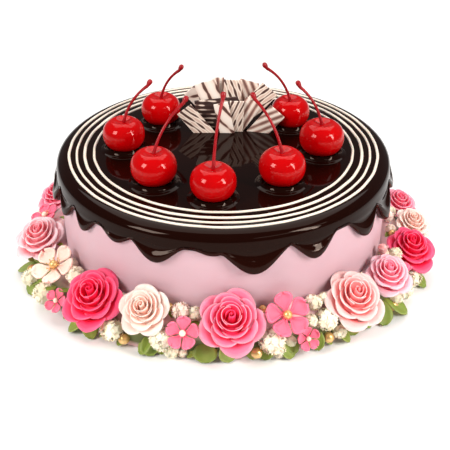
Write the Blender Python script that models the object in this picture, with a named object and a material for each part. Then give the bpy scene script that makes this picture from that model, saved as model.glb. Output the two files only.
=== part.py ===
"""Round birthday cake with a poured chocolate glaze, cherries, chocolate shards and a wreath of sugar flowers.

The origin is the centre of the cake's flat underside, +Z is up and -Y is the front.
Angles round the cake are in degrees from the front, positive towards +X.
"""

import math
import random

import bmesh
import bpy
from mathutils import Matrix, Vector

MM = 0.001
GAP = 0.3 * MM

# The cake and the cap of glaze that covers it
CAKE_FOOT_RADIUS = 88.8 * MM
CAKE_RADIUS = 87.7 * MM
TOP_HEIGHT = 63.6 * MM
GLAZE_TOP_THICKNESS = 3.0 * MM
GLAZE_SIDE_THICKNESS = 1.5 * MM
CAKE_EDGE_ROUNDING = 3.8 * MM
GLAZE_FLAT_RADIUS = 83.3 * MM
CAKE_SEGMENTS = 80
LINE_SEGMENTS = 40

# Piped lines on the glaze: radius and width of each
LINE_HEIGHT = 0.7 * MM
PIPED_LINES = ((69.0, 2.0), (73.9, 2.3), (78.1, 1.8), (82.0, 2.1))

# Runs of glaze: angle, length below the hem, half width in degrees
HEM_HEIGHT = 54.6 * MM
FRONT_RUNS = (
    (-76.0, 12.0, 7.0),
    (-62.0, 9.0, 6.5),
    (-49.0, 7.5, 6.0),
    (-34.5, 4.5, 6.5),
    (-20.5, 8.5, 9.0),
    (-3.0, 2.2, 6.0),
    (9.2, 11.5, 11.5),
    (28.5, 9.5, 8.5),
    (50.5, 11.0, 9.0),
    (65.5, 14.0, 8.0),
)
BACK_RUN_SPACING = 15.0
BACK_RUN_SEED = 7

# Cherries: angle, distance from the centre, diameter, and where the stem's tip is from its foot
CHERRY_HEIGHT_SHARE = 0.78
CHERRY_SIDES = 15
STEM_SIDES = 5
STEM_RADIUS = 0.65 * MM
STEM_STEPS = 5
KNOB_LENGTH = 4.0 * MM
CHERRIES = (
    ("cherry_left", -86, 52.8, 22.2, (15.9, 1.0, 22.5)),
    ("cherry_back_left", -129, 45.2, 22.0, (13.1, -5.0, 20.3)),
    ("cherry_front_left", -40, 53.1, 23.0, (16.8, 13.0, 23.9)),
    ("cherry_front", -5, 55.5, 22.4, (5.0, 14.0, 32.4)),
    ("cherry_front_right", 35.5, 49.7, 23.2, (-15.3, 12.0, 26.0)),
    ("cherry_right", 80.5, 52.2, 23.4, (-14.3, 3.0, 22.3)),
    ("cherry_back_right", 124, 45.1, 21.6, (-16.0, -5.0, 23.0)),
)

# Chocolate shards: x and y of the middle of the top edge, its height above the glaze,
# lean to the right and turn in degrees, width
SHARD_THICKNESS = 1.2 * MM
SHARD_LENGTH = 60.0 * MM
SHARDS = (
    ("shard_back_far_left", -18.5, 29.2, 20.0, -42, 1, 9.0),
    ("shard_back_left", -10.2, 24.1, 26.5, -18, -1, 12.0),
    ("shard_back_narrow", -2.5, 27.5, 27.5, 0, 1, 6.0),
    ("shard_back_centre", 5.5, 25.8, 26.8, 4, 1, 10.0),
    ("shard_back_right", 14.5, 27.5, 25.5, 16, -1, 11.0),
    ("shard_back_far_right", 25.5, 22.4, 23.0, 42, 0, 11.0),
    ("shard_plaque", -4.0, 20.7, 18.0, -6, 0, 24.0),
    ("shard_front_left", -21.5, 15.6, 14.0, -38, 1, 9.5),
    ("shard_front_centre", -1.5, 15.6, 17.5, -12, -1, 8.0),
    ("shard_front_middle", 7.5, 17.3, 18.0, 2, 0, 8.0),
    ("shard_front_right", 17.0, 19.0, 17.0, 35, 0, 10.0),
    ("shard_right", 29.5, 13.6, 13.7, 38, -15, 10.0),
)

# The bed that holds the wreath. Its slope is where radius plus height is this sum.
# It is wider and lower at the sides than at the front and back.
BED_SUM = 112.6 * MM
BED_INNER_RADIUS = 89.7 * MM
BED_FOOT_RADIUS = 98.5 * MM
BED_FOOT_WIDER = 10.5 * MM
BED_TOP_HEIGHT = 22.5 * MM
BED_TOP_LOWER = 5.5 * MM
BED_SEGMENTS = 32

# Roses: angle, radius, height, diameter, colour
ROSES = (
    ("rose_left_candy", -104, 102.0, 17.5, 22.5, "candy"),
    ("rose_left_blush", -76.5, 102.5, 19.5, 27.5, "blush"),
    ("rose_front_magenta", -38.5, 101.5, 21.5, 30.5, "magenta"),
    ("rose_front_cream", -22.1, 99.6, 24.5, 24.5, "cream"),
    ("rose_front_candy", 2, 100.2, 23.9, 30.2, "candy"),
    ("rose_front_blush", 38.8, 101.4, 20.6, 30.3, "blush"),
    ("rose_right_pink", 55.5, 101.6, 19.2, 24.0, "pink"),
    ("rose_right_magenta", 73, 105.5, 16.8, 27.0, "magenta"),
    ("rose_right_cream", 87, 107.0, 17.0, 21.0, "cream"),
    ("rose_right_candy", 99, 104.5, 17.0, 21.5, "candy"),
    ("rose_back_blush", 133, 101.5, 20.5, 29.0, "blush"),
    ("rose_back_pink", 149.8, 100.0, 22.0, 24.0, "pink"),
    ("rose_back_magenta", 181, 100.5, 23.0, 30.0, "magenta"),
    ("rose_back_cream", 198.3, 100.0, 22.5, 25.0, "cream"),
    ("rose_back_candy", 230, 101.5, 20.5, 29.0, "candy"),
)

# Blossoms: angle, radius, height, diameter, colour, tip of the face upwards in degrees
BLOSSOMS = (
    ("blossom_left", -90.8, 101.0, 17.0, 16.0, "candy", 0),
    ("blossom_cream", -58.3, 100.6, 20.2, 22.5, "cream", 0),
    ("blossom_small_left", -51.4, 107.0, 9.6, 11.0, "candy", -18),
    ("blossom_front_left", -10.6, 102.3, 17.0, 15.5, "candy", 0),
    ("blossom_front_right", 17.4, 98.7, 22.8, 21.0, "candy", 0),
    ("blossom_small_right", 22.6, 104.0, 10.2, 11.5, "candy", -18),
    ("blossom_back_right", 117, 99.5, 20.0, 20.0, "pink", 0),
    ("blossom_back_cream", 165.5, 99.0, 22.5, 21.5, "cream", 0),
    ("blossom_back_pink", 214.3, 99.0, 21.5, 20.0, "candy", 0),
    ("blossom_back_left", 243.7, 99.0, 19.5, 16.0, "pink", 0),
)
BLOSSOM_PETALS = 5
PETAL_THICKNESS = 1.1 * MM

# Buds: angle, radius, height, diameter, colour, tip upwards in degrees
BUDS = (
    ("bud_blush", 62.8, 93.2, 24.5, 6.4, "blush", 30),
    ("bud_pink", 64.2, 105.5, 15.0, 6.4, "candy", 0),
    ("bud_cream", 87.5, 93.2, 20.5, 7.4, "cream", 30),
)

# Small things fused to the bed. Flower heads and pearls: angle, radius, height, diameter
HEADS = (
    (-97.0, 108.0, 7.4, 9.5),
    (-68.0, 110.8, 4.6, 8.0),
    (-58.8, 108.5, 5.8, 9.5),
    (-58.0, 92.6, 19.5, 6.2),
    (-51.6, 95.4, 20.2, 8.0),
    (-31.2, 103.8, 9.6, 9.5),
    (-16.6, 102.2, 11.5, 9.5),
    (-14.2, 101.0, 4.0, 6.6),
    (-12.5, 93.2, 22.8, 7.2),
    (13.0, 102.2, 11.8, 10.5),
    (14.8, 101.0, 4.0, 6.6),
    (27.8, 93.8, 21.4, 6.1),
    (29.4, 100.8, 15.2, 9.0),
    (33.0, 103.5, 6.9, 6.2),
    (47.2, 93.0, 20.5, 6.0),
    (56.0, 107.0, 8.2, 7.4),
    (61.4, 108.2, 4.2, 7.2),
    (67.6, 109.2, 5.0, 8.0),
    (85.0, 110.8, 5.6, 8.4),
    (93.2, 96.0, 18.0, 5.6),
    (108.0, 108.0, 8.0, 9.0),
)
PEARLS = (
    (-72.4, 109.0, 5.2, 5.4),
    (-28.0, 102.4, 5.2, 5.9),
    (-16.2, 91.8, 22.8, 4.4),
    (9.3, 100.4, 5.6, 5.4),
    (11.6, 91.6, 22.8, 4.2),
    (29.8, 102.6, 4.9, 5.7),
    (54.2, 107.0, 3.7, 6.2),
    (72.0, 108.8, 4.8, 5.0),
    (79.0, 94.6, 18.6, 4.4),
)
# Leaves: angle and radius of the tip, swing of the base in degrees, width
LEAVES = (
    (-104.0, 114.5, 5, 9.0),
    (-76.5, 117.0, -5, 10.0),
    (-64.0, 114.0, 5, 9.0),
    (-44.5, 110.3, -4, 9.5),
    (-37.0, 107.5, 4, 8.0),
    (-22.9, 104.4, -3, 9.5),
    (-19.4, 104.2, 2, 9.5),
    (-4.9, 103.6, 0, 12.0),
    (2.2, 102.2, 2, 11.0),
    (10.6, 102.8, -2, 9.0),
    (18.4, 104.9, 2, 9.5),
    (25.5, 104.6, -2, 7.0),
    (35.5, 107.0, 3, 9.0),
    (47.0, 110.7, -4, 10.0),
    (55.5, 114.5, 3, 11.0),
    (68.0, 116.5, -4, 8.0),
    (78.0, 118.0, 4, 9.0),
    (88.5, 118.0, -4, 8.0),
    (104.0, 115.0, 5, 8.5),
)
LEAF_TIP_HEIGHT = 1.5 * MM
LEAF_BASE_HEIGHT = 9.0 * MM
LEAF_THICKNESS = 0.8 * MM

COLOURS = {
    "frosting": ((0.86, 0.47, 0.52), 0.55),
    "glaze": ((0.018, 0.006, 0.004), 0.08),
    "cherry": ((0.62, 0.0, 0.005), 0.12),
    "shard": ((0.62, 0.50, 0.42), 0.35),
    "magenta": ((0.85, 0.06, 0.14), 0.6),
    "candy": ((0.90, 0.22, 0.30), 0.6),
    "pink": ((0.88, 0.34, 0.42), 0.6),
    "blush": ((0.92, 0.48, 0.48), 0.6),
    "cream": ((0.93, 0.66, 0.56), 0.6),
    "greenery": ((0.12, 0.20, 0.05), 0.7),
}


def clear_scene():
    for obj in list(bpy.data.objects):
        bpy.data.objects.remove(obj)


def material(name):
    """One Principled material for each colour of the table."""
    found = bpy.data.materials.get(name)
    if found:
        return found
    colour, roughness = COLOURS[name]
    made = bpy.data.materials.new(name)
    made.use_nodes = True
    shader = made.node_tree.nodes["Principled BSDF"]
    shader.inputs["Base Color"].default_value = (*colour, 1.0)
    shader.inputs["Roughness"].default_value = roughness
    return made


def polar(angle, radius, height):
    """A point at that angle round the cake, in degrees from the front."""
    turn = math.radians(angle)
    return Vector((radius * math.sin(turn), -radius * math.cos(turn), height))


def ring(radius_at, height_at, sides):
    """A closed row of points round the cake; radius and height are functions of the angle."""
    angles = [360.0 * i / sides for i in range(sides)]
    return [polar(a, radius_at(a), height_at(a)) for a in angles]


def level_ring(radius, height, sides):
    return ring(lambda a: radius, lambda a: height, sides)


def join_rows(bm, wide, narrow):
    """Faces between two closed rows, where the first has a whole multiple of the second's points."""
    if len(narrow) == 1:
        for i, vert in enumerate(wide):
            bm.faces.new((vert, wide[(i + 1) % len(wide)], narrow[0]))
        return
    ratio = len(wide) // len(narrow)
    for i, here in enumerate(narrow):
        after = narrow[(i + 1) % len(narrow)]
        for k in range(ratio):
            first = wide[(i * ratio + k) % len(wide)]
            second = wide[(i * ratio + k + 1) % len(wide)]
            if k < ratio - 1:
                bm.faces.new((first, second, here))
            else:
                bm.faces.new((first, second, after, here))


def solid_from_rows(name, rows, colour):
    """A closed solid through closed rows of points; an end row of one point is a tip."""
    bm = bmesh.new()
    levels = [[bm.verts.new(p) for p in row] for row in rows]
    for low, high in zip(levels, levels[1:]):
        if len(low) >= len(high):
            join_rows(bm, low, high)
        else:
            join_rows(bm, high, low)
    for end in (levels[0], levels[-1]):
        if len(end) > 1:
            bm.faces.new(end)
    return solid(name, bm, colour)


def solid(name, bm, colour):
    """Makes an object of a closed bmesh, in triangles with the faces pointing out."""
    bmesh.ops.triangulate(bm, faces=bm.faces[:])
    bmesh.ops.recalc_face_normals(bm, faces=bm.faces[:])
    mesh = bpy.data.meshes.new(name)
    bm.to_mesh(mesh)
    bm.free()
    mesh.shade_smooth()
    mesh.set_sharp_from_angle(angle=math.radians(40))
    mesh.materials.append(material(colour))
    obj = bpy.data.objects.new(name, mesh)
    bpy.context.scene.collection.objects.link(obj)
    return obj


def cake_radius_at(height):
    """The frosted side's radius, which grows a little towards the foot."""
    share = height / (TOP_HEIGHT - GLAZE_TOP_THICKNESS - CAKE_EDGE_ROUNDING)
    return CAKE_FOOT_RADIUS + (CAKE_RADIUS - CAKE_FOOT_RADIUS) * min(1.0, share)


def make_cake():
    """The frosted cake: a drum a little wider at its foot, with a rounded top edge, flat underneath."""
    top = TOP_HEIGHT - GLAZE_TOP_THICKNESS - GAP
    profile = (
        (CAKE_FOOT_RADIUS, 0.0),
        (CAKE_RADIUS, top - CAKE_EDGE_ROUNDING),
        (CAKE_RADIUS - 0.3 * CAKE_EDGE_ROUNDING, top - 0.3 * CAKE_EDGE_ROUNDING),
        (CAKE_RADIUS - CAKE_EDGE_ROUNDING, top),
    )
    rows = [level_ring(r, z, CAKE_SEGMENTS) for r, z in profile]
    return solid_from_rows("cake_body", rows, "frosting")


def glaze_runs():
    """The runs seen from the front, then seeded ones for the rest of the way round."""
    draw = random.Random(BACK_RUN_SEED)
    runs = list(FRONT_RUNS)
    angle = FRONT_RUNS[-1][0] + BACK_RUN_SPACING
    while angle < 360.0 + FRONT_RUNS[0][0] - 0.6 * BACK_RUN_SPACING:
        runs.append((angle, draw.uniform(6.0, 14.0), draw.uniform(6.5, 9.0)))
        angle += BACK_RUN_SPACING + draw.uniform(-1.5, 1.5)
    return runs


def run_length(angle, runs):
    """How far the glaze hangs below its hem at this angle, in metres."""
    longest = 0.0
    for centre, length, half_width in runs:
        away = abs((angle - centre + 180.0) % 360.0 - 180.0)
        if away < half_width:
            longest = max(longest, length * math.cos(0.5 * math.pi * away / half_width) ** 2)
    return longest * MM


def piped_line_rows():
    """Rows over the flat top, rising over each piped line."""
    edge = 0.35 * MM
    rows = []
    for radius, width in PIPED_LINES:
        inner = (radius - 0.5 * width) * MM
        outer = (radius + 0.5 * width) * MM
        crest = TOP_HEIGHT + LINE_HEIGHT
        for r, z in (
            (inner, TOP_HEIGHT),
            (inner + edge, crest),
            (outer - edge, crest),
            (outer, TOP_HEIGHT),
        ):
            rows.append(level_ring(r, z, LINE_SEGMENTS))
    rows.append(level_ring(GLAZE_FLAT_RADIUS, TOP_HEIGHT, LINE_SEGMENTS))
    return rows


def make_glaze():
    """The cap of glaze: flat top with the piped lines, rolled shoulder, runs, and the cake's own form inside."""
    runs = glaze_runs()
    outer = cake_radius_at(HEM_HEIGHT) + GAP + GLAZE_SIDE_THICKNESS
    coarse_inner = (CAKE_RADIUS + GAP) / math.cos(math.pi / LINE_SEGMENTS)
    ceiling = TOP_HEIGHT - GLAZE_TOP_THICKNESS

    def hem(angle):
        return HEM_HEIGHT - run_length(angle, runs)

    def swell(angle):
        return outer + 0.1 * run_length(angle, runs)

    rows = piped_line_rows()
    for r, drop in ((85.9 * MM, 1.3 * MM), (88.2 * MM, 4.0 * MM), (outer, 8.2 * MM)):
        rows.append(level_ring(r, TOP_HEIGHT - drop, CAKE_SEGMENTS))
    rows.append(ring(swell, lambda a: hem(a) + 2.1 * MM, CAKE_SEGMENTS))
    rows.append(ring(lambda a: swell(a) - 0.4 * MM, lambda a: hem(a) + 0.6 * MM, CAKE_SEGMENTS))
    rows.append(ring(lambda a: cake_radius_at(hem(a)) + GAP, hem, CAKE_SEGMENTS))
    for share in (1.0, 0.3):
        shoulder = coarse_inner - (0.0 if share == 1.0 else share * CAKE_EDGE_ROUNDING)
        rows.append(level_ring(shoulder, ceiling - share * CAKE_EDGE_ROUNDING, LINE_SEGMENTS))
    rows.append(level_ring(coarse_inner - CAKE_EDGE_ROUNDING, ceiling, LINE_SEGMENTS))
    return solid_from_rows("glaze", rows, "glaze")


def tube_row(centre, direction, radius, sides):
    """A round row of points square to a path's direction."""
    turn = direction.to_track_quat("Z", "Y").to_matrix()
    row = []
    for i in range(sides):
        a = 2.0 * math.pi * i / sides
        row.append(centre + turn @ Vector((radius * math.sin(a), -radius * math.cos(a), 0.0)))
    return row


def make_cherry(name, angle, distance, diameter, tip):
    """A cherry with its bent stem, flat where it sits on the glaze."""
    half = 0.5 * diameter * MM
    height = CHERRY_HEIGHT_SHARE * diameter * MM
    foot = polar(angle, distance * MM, TOP_HEIGHT + GAP)
    profile = ((0.45, 0.0), (0.84, 0.14), (1.0, 0.42), (0.95, 0.70), (0.66, 0.95), (0.3, 0.97))
    rows = []
    for share, rise in profile:
        centre = foot + Vector((0, 0, rise * height))
        rows.append(tube_row(centre, Vector((0, 0, 1)), share * half, CHERRY_SIDES))
    start = foot + Vector((0, 0, 0.93 * height))
    top = start + Vector(tip) * MM
    knob = KNOB_LENGTH * (top - start).normalized()
    end = top - knob
    bend = start.lerp(end, 0.4)
    bend.z = start.z + 0.62 * (end.z - start.z)
    for i in range(STEM_STEPS + 1):
        t = i / STEM_STEPS
        point = start * (1 - t) ** 2 + bend * (2 * t * (1 - t)) + end * t**2
        along = (bend - start) * (1 - t) + (end - bend) * t
        radius = STEM_RADIUS * (1.25 if i in (0, STEM_STEPS) else 1.0)
        rows.append(tube_row(point, along, radius, STEM_SIDES))
    rows.append(tube_row(end + 0.5 * knob, knob, 2.1 * STEM_RADIUS, STEM_SIDES))
    rows.append(tube_row(end + knob, knob, 1.2 * STEM_RADIUS, STEM_SIDES))
    return solid_from_rows(name, rows, "cherry")


def make_shard(name, x, y, top, lean, turn, width):
    """A flat slab of chocolate that leans in the fan and stands on the glaze, cut level at its foot."""
    bm = bmesh.new()
    bmesh.ops.create_cube(bm, size=1.0)
    size = Matrix.Diagonal((width * MM, SHARD_THICKNESS, SHARD_LENGTH, 1.0))
    hang = Matrix.Translation((0, 0, -0.5 * SHARD_LENGTH))
    place = Matrix.Translation((x * MM, y * MM, TOP_HEIGHT + top * MM))
    turned = Matrix.Rotation(math.radians(turn), 4, "Z") @ Matrix.Rotation(math.radians(lean), 4, "Y")
    bm.transform(place @ turned @ hang @ size)
    cut = bmesh.ops.bisect_plane(
        bm,
        geom=bm.verts[:] + bm.edges[:] + bm.faces[:],
        plane_co=(0, 0, TOP_HEIGHT + GAP),
        plane_no=(0, 0, 1),
        clear_inner=True,
    )
    rim = [e for e in cut["geom_cut"] if isinstance(e, bmesh.types.BMEdge)]
    bmesh.ops.holes_fill(bm, edges=rim)
    return solid(name, bm, "shard")


def bed_foot(angle):
    return BED_FOOT_RADIUS + BED_FOOT_WIDER * math.sin(math.radians(angle)) ** 2


def bed_top(angle):
    return BED_TOP_HEIGHT - BED_TOP_LOWER * math.sin(math.radians(angle)) ** 2


class Seat:
    """Where a flower sits on the wreath: its middle, its axes, and how deep its base is."""

    def __init__(self, angle, radius, height, diameter, lift=0, base_share=0.42):
        face = math.radians(45 + lift)
        out = polar(angle, 1.0, 0.0)
        self.normal = out * math.cos(face) + Vector((0, 0, math.sin(face)))
        self.side = Vector((0, 0, 1)).cross(out).normalized()
        self.up = self.normal.cross(self.side)
        self.middle = polar(angle, radius * MM, height * MM)
        self.half = 0.5 * diameter * MM
        self.base_share = base_share
        # The bed's slope, outer face and top, each with how far the middle is above it.
        surfaces = (
            (math.radians(45), ((radius + height) * MM - BED_SUM) * math.sqrt(0.5)),
            (0.0, radius * MM - bed_foot(angle)),
            (math.radians(90), height * MM - bed_top(angle)),
        )
        depths = []
        for steepness, above in surfaces:
            tilt = abs(face - steepness)
            room = above - base_share * self.half * math.sin(tilt) - 1.3 * GAP
            depths.append(room / math.cos(tilt))
        self.base = max(depths)

    def point(self, turn, share, rise):
        """A point of the flower: turn in radians, share of its half width, rise along its axis."""
        flat = self.side * math.cos(turn) + self.up * math.sin(turn)
        return self.middle + flat * (share * self.half) + self.normal * rise

    def row(self, share_at, rise_at, turns):
        return [self.point(t, share_at(t), rise_at(t)) for t in turns]

    def holds(self, point, clearance):
        """Whether a point is inside the flower's envelope or nearer to it than the clearance."""
        away = point - self.middle
        rise = away.dot(self.normal)
        across = (away - self.normal * rise).length
        if not -self.base - clearance < rise < 0.55 * self.half + clearance:
            return False
        if rise < 0:
            reach = self.half * (1.0 - 0.55 * min(1.0, -rise / max(self.base, MM)))
        else:
            reach = self.half * math.sqrt(max(0.0, 1.0 - (rise / (0.62 * self.half)) ** 2))
        return across < reach + clearance


def rose_seats():
    return [Seat(*row[1:5]) for row in ROSES]


def blossom_seats():
    return [Seat(*row[1:5], row[6], 0.22) for row in BLOSSOMS]


def bud_seats():
    return [Seat(*row[1:5], row[6], 0.45) for row in BUDS]


def even_turns(count):
    return [2.0 * math.pi * i / count for i in range(count)]


def lobed(share, count, depth, phase):
    """The share of the half width at each turn, notched between that many petals."""
    return lambda t: share * (1.0 - depth * abs(math.cos(0.5 * count * (t - phase))) ** 3)


def make_rose(name, seat, colour):
    """A sugar rose: a cup of outer petals, two tiers inside it and a closed bud."""
    half = seat.half
    turns = even_turns(15)
    tiers = (
        (lobed(seat.base_share, 5, 0.0, 0.0), -seat.base),
        (lobed(0.82, 5, 0.05, 0.2), -0.42 * seat.base),
        (lobed(1.0, 5, 0.12, 0.2), 0.02 * half),
        (lobed(0.76, 5, 0.04, 0.2), -0.06 * half),
        (lobed(0.73, 5, 0.14, 0.85), 0.27 * half),
        (lobed(0.45, 3, 0.04, 0.3), 0.20 * half),
        (lobed(0.40, 3, 0.16, 0.3), 0.45 * half),
        (lobed(0.14, 3, 0.0, 0.0), 0.42 * half),
    )
    rows = [seat.row(share, lambda t, r=rise: r, turns) for share, rise in tiers]
    rows.append([seat.middle + seat.normal * 0.30 * half])
    return solid_from_rows(name, rows, colour)


def make_blossom(name, seat, colour):
    """A five-petalled sugar blossom: cupped petals on a short calyx, with a pearl in the middle."""
    half = seat.half
    turns = []
    shares = {}
    for petal in range(BLOSSOM_PETALS):
        for degrees, share in ((-36, 0.45), (-21, 1.0), (21, 1.0)):
            turns.append(math.radians(degrees + petal * 360 / BLOSSOM_PETALS))
            shares[turns[-1]] = share
    rows = [
        seat.row(lambda t: seat.base_share, lambda t: -seat.base, turns),
        seat.row(lambda t: shares[t], lambda t: 0.06 * half * shares[t], turns),
        seat.row(lambda t: shares[t], lambda t: 0.06 * half * shares[t] + PETAL_THICKNESS, turns),
        seat.row(lambda t: 0.25, lambda t: 0.5 * PETAL_THICKNESS - 0.08 * half, turns),
        seat.row(lambda t: 0.22, lambda t: 0.20 * half, turns),
        [seat.middle + seat.normal * 0.34 * half],
    ]
    return solid_from_rows(name, rows, colour)


def make_bud(name, seat, colour):
    """A closed sugar bud, a drop that stands on the bed."""
    rise = 0.9 * seat.half
    turns = even_turns(9)
    rows = [seat.row(lambda t: seat.base_share, lambda t: -seat.base, turns)]
    for share, level in ((0.95, -0.25), (1.0, 0.2), (0.72, 0.75)):
        rows.append(seat.row(lambda t, s=share: s, lambda t, z=level: z * rise, turns))
    rows.append([seat.middle + seat.normal * 1.1 * rise])
    return solid_from_rows(name, rows, colour)


def add_head(name, angle, radius, height, diameter, seed):
    """A head of tiny filler flowers, as a ball with a crumpled surface."""
    bm = bmesh.new()
    bmesh.ops.create_icosphere(bm, subdivisions=1, radius=0.5 * diameter * MM)
    draw = random.Random(seed)
    for vert in bm.verts:
        vert.co *= draw.uniform(0.88, 1.0)
    bm.transform(Matrix.Translation(polar(angle, radius * MM, height * MM)))
    return solid(name, bm, "greenery")


def add_pearl(name, angle, radius, height, diameter):
    bm = bmesh.new()
    bmesh.ops.create_icosphere(bm, subdivisions=1, radius=0.5 * diameter * MM)
    bm.transform(Matrix.Translation(polar(angle, radius * MM, height * MM)))
    return solid(name, bm, "greenery")


def add_leaf(name, angle, radius, swing, width):
    """A thin wavy leaf that hangs from the bed down to its tip, folded a little along its midrib."""
    tip = polar(angle, radius * MM, LEAF_TIP_HEIGHT)
    start = angle - swing
    base_radius = min(BED_SUM - LEAF_BASE_HEIGHT, bed_foot(start)) - 1.0 * MM
    base = polar(start, base_radius, LEAF_BASE_HEIGHT)
    along = tip - base
    across = Vector((0, 0, 1)).cross(along).normalized()
    lift = along.cross(across).normalized()
    if lift.z < 0:
        lift = -lift
    half = 0.5 * width * MM
    spots = (
        (0.0, 0.0, 0.0),
        (0.45, 1.0, 0.16),
        (0.86, 0.7, 0.18),
        (1.0, -0.1, 0.06),
        (0.8, -0.8, 0.10),
        (0.4, -1.0, 0.08),
        (0.5, 0.0, 0.0),
    )
    bm = bmesh.new()
    sheets = []
    for level in (0.5, -0.5):
        sheet = []
        for run, wide, rise in spots:
            spot = base + along * run + across * (wide * half)
            sheet.append(bm.verts.new(spot + lift * (rise * half * 1.6 + level * LEAF_THICKNESS)))
        sheets.append(sheet)
    count = len(spots) - 1
    for i in range(count):
        j = (i + 1) % count
        bm.faces.new((sheets[0][i], sheets[0][j], sheets[0][count]))
        bm.faces.new((sheets[1][j], sheets[1][i], sheets[1][count]))
        bm.faces.new((sheets[0][j], sheets[0][i], sheets[1][i], sheets[1][j]))
    return solid(name, bm, "greenery")


def clear_of_flowers(obj, seats):
    """Whether no edge of a small piece comes near a flower."""
    corners = obj.data.vertices
    for edge in obj.data.edges:
        start, end = (corners[i].co for i in edge.vertices)
        for step in range(6):
            point = start.lerp(end, 0.2 * step)
            if any(seat.holds(point, 2 * GAP) for seat in seats):
                return False
    return True


def back_copies(rows):
    """The front's small things, repeated round the back."""
    copies = [(row[0] + 180.0, *row[1:]) for row in rows if abs(row[0]) < 60.0]
    return list(rows) + copies


def small_pieces(seats):
    """Every leaf, flower head and pearl that finds room between the flowers."""
    made = []
    for i, row in enumerate(back_copies(LEAVES)):
        made.append(add_leaf(f"leaf_{i}", *row))
    for i, row in enumerate(back_copies(HEADS)):
        made.append(add_head(f"head_{i}", *row, seed=i))
    for i, row in enumerate(back_copies(PEARLS)):
        made.append(add_pearl(f"pearl_{i}", *row))
    kept = []
    for obj in made:
        if clear_of_flowers(obj, seats):
            kept.append(obj)
        else:
            bpy.data.objects.remove(obj)
    return kept


def make_greenery(seats):
    """The wreath's bed, one ring with its leaves, flower heads and pearls fused on."""
    rows = (
        level_ring(BED_INNER_RADIUS, 0.0, BED_SEGMENTS),
        ring(bed_foot, lambda a: 0.0, BED_SEGMENTS),
        ring(bed_foot, lambda a: BED_SUM - bed_foot(a), BED_SEGMENTS),
        ring(lambda a: BED_SUM - bed_top(a), bed_top, BED_SEGMENTS),
        ring(lambda a: BED_INNER_RADIUS, bed_top, BED_SEGMENTS),
    )
    bm = bmesh.new()
    levels = [[bm.verts.new(p) for p in row] for row in rows]
    for low, high in zip(levels, levels[1:] + levels[:1]):
        join_rows(bm, low, high)
    bed = solid("greenery", bm, "greenery")
    pieces = bpy.data.collections.new("small pieces")
    bpy.context.scene.collection.children.link(pieces)
    for obj in small_pieces(seats):
        bpy.context.scene.collection.objects.unlink(obj)
        pieces.objects.link(obj)
    fuse = bed.modifiers.new("fuse", "BOOLEAN")
    fuse.operation = "UNION"
    fuse.operand_type = "COLLECTION"
    fuse.collection = pieces
    fuse.solver = "EXACT"
    bpy.context.view_layer.objects.active = bed
    bpy.ops.object.modifier_apply(modifier=fuse.name)
    for obj in list(pieces.objects):
        bpy.data.objects.remove(obj)
    bpy.data.collections.remove(pieces)
    return bed


def main():
    clear_scene()
    make_cake()
    make_glaze()
    for row in CHERRIES:
        make_cherry(*row)
    for row in SHARDS:
        make_shard(*row)
    roses = rose_seats()
    blossoms = blossom_seats()
    buds = bud_seats()
    for row, seat in zip(ROSES, roses):
        make_rose(row[0], seat, row[5])
    for row, seat in zip(BLOSSOMS, blossoms):
        make_blossom(row[0], seat, row[5])
    for row, seat in zip(BUDS, buds):
        make_bud(row[0], seat, row[5])
    make_greenery(roses + blossoms + buds)


main()
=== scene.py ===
"""Looks for the birthday cake: pink buttercream under a poured chocolate glaze, glace cherries, a fan of
marbled chocolate slabs, and a wreath of sugar roses, blossoms, filler flowers, pearls and leaves.

Metres, +Z up, the front is -Y. Angles round the cake are in degrees from the front, positive towards +X.
"""

import math
import random

import bmesh
import bpy
from mathutils import Matrix, Vector

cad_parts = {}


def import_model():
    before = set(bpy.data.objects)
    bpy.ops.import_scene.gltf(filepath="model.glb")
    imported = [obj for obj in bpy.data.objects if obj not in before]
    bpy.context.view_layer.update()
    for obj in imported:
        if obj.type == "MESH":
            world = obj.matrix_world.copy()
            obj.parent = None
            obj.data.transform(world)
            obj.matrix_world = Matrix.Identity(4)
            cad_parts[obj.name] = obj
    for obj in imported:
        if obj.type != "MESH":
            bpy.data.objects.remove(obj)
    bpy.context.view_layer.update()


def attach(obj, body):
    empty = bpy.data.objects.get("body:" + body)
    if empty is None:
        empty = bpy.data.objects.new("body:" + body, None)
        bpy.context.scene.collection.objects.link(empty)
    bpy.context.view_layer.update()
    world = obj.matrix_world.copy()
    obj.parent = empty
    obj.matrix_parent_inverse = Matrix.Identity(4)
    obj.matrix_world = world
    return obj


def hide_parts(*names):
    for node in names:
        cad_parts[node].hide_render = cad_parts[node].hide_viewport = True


MM = 0.001

# The cake and its glaze
CAKE_FOOT = 88.8 * MM
CAKE_TOP_RADIUS = 87.7 * MM
TOP_HEIGHT = 63.6 * MM
CAKE_HEIGHT = 60.2 * MM
CAKE_ROUNDING = 3.8 * MM
GLAZE_FLAT = 83.3 * MM
GLAZE_OUTER = 89.5 * MM
HEM_HEIGHT = 54.6 * MM
GLAZE_SIDES = 480
# Where the glaze turns from its flat top into its side: radius, drop below the top
SHOULDER = (
    (84.7, 0.25),
    (86.0, 0.75),
    (87.2, 1.45),
    (88.0, 2.1),
    (88.55, 2.9),
    (88.9, 3.9),
    (89.1, 5.2),
    (89.3, 7.2),
)
# The bead along the lower edge: share of its inset, rise over the edge, how strong the painted glow of
# light through the glaze is
BEAD = ((0.0, 1.5, 0.5), (-0.12, 0.95, 0.7), (-0.35, 0.5, 0.9), (-0.75, 0.15, 1.0), (-1.2, 0.0, 1.0))
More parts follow.
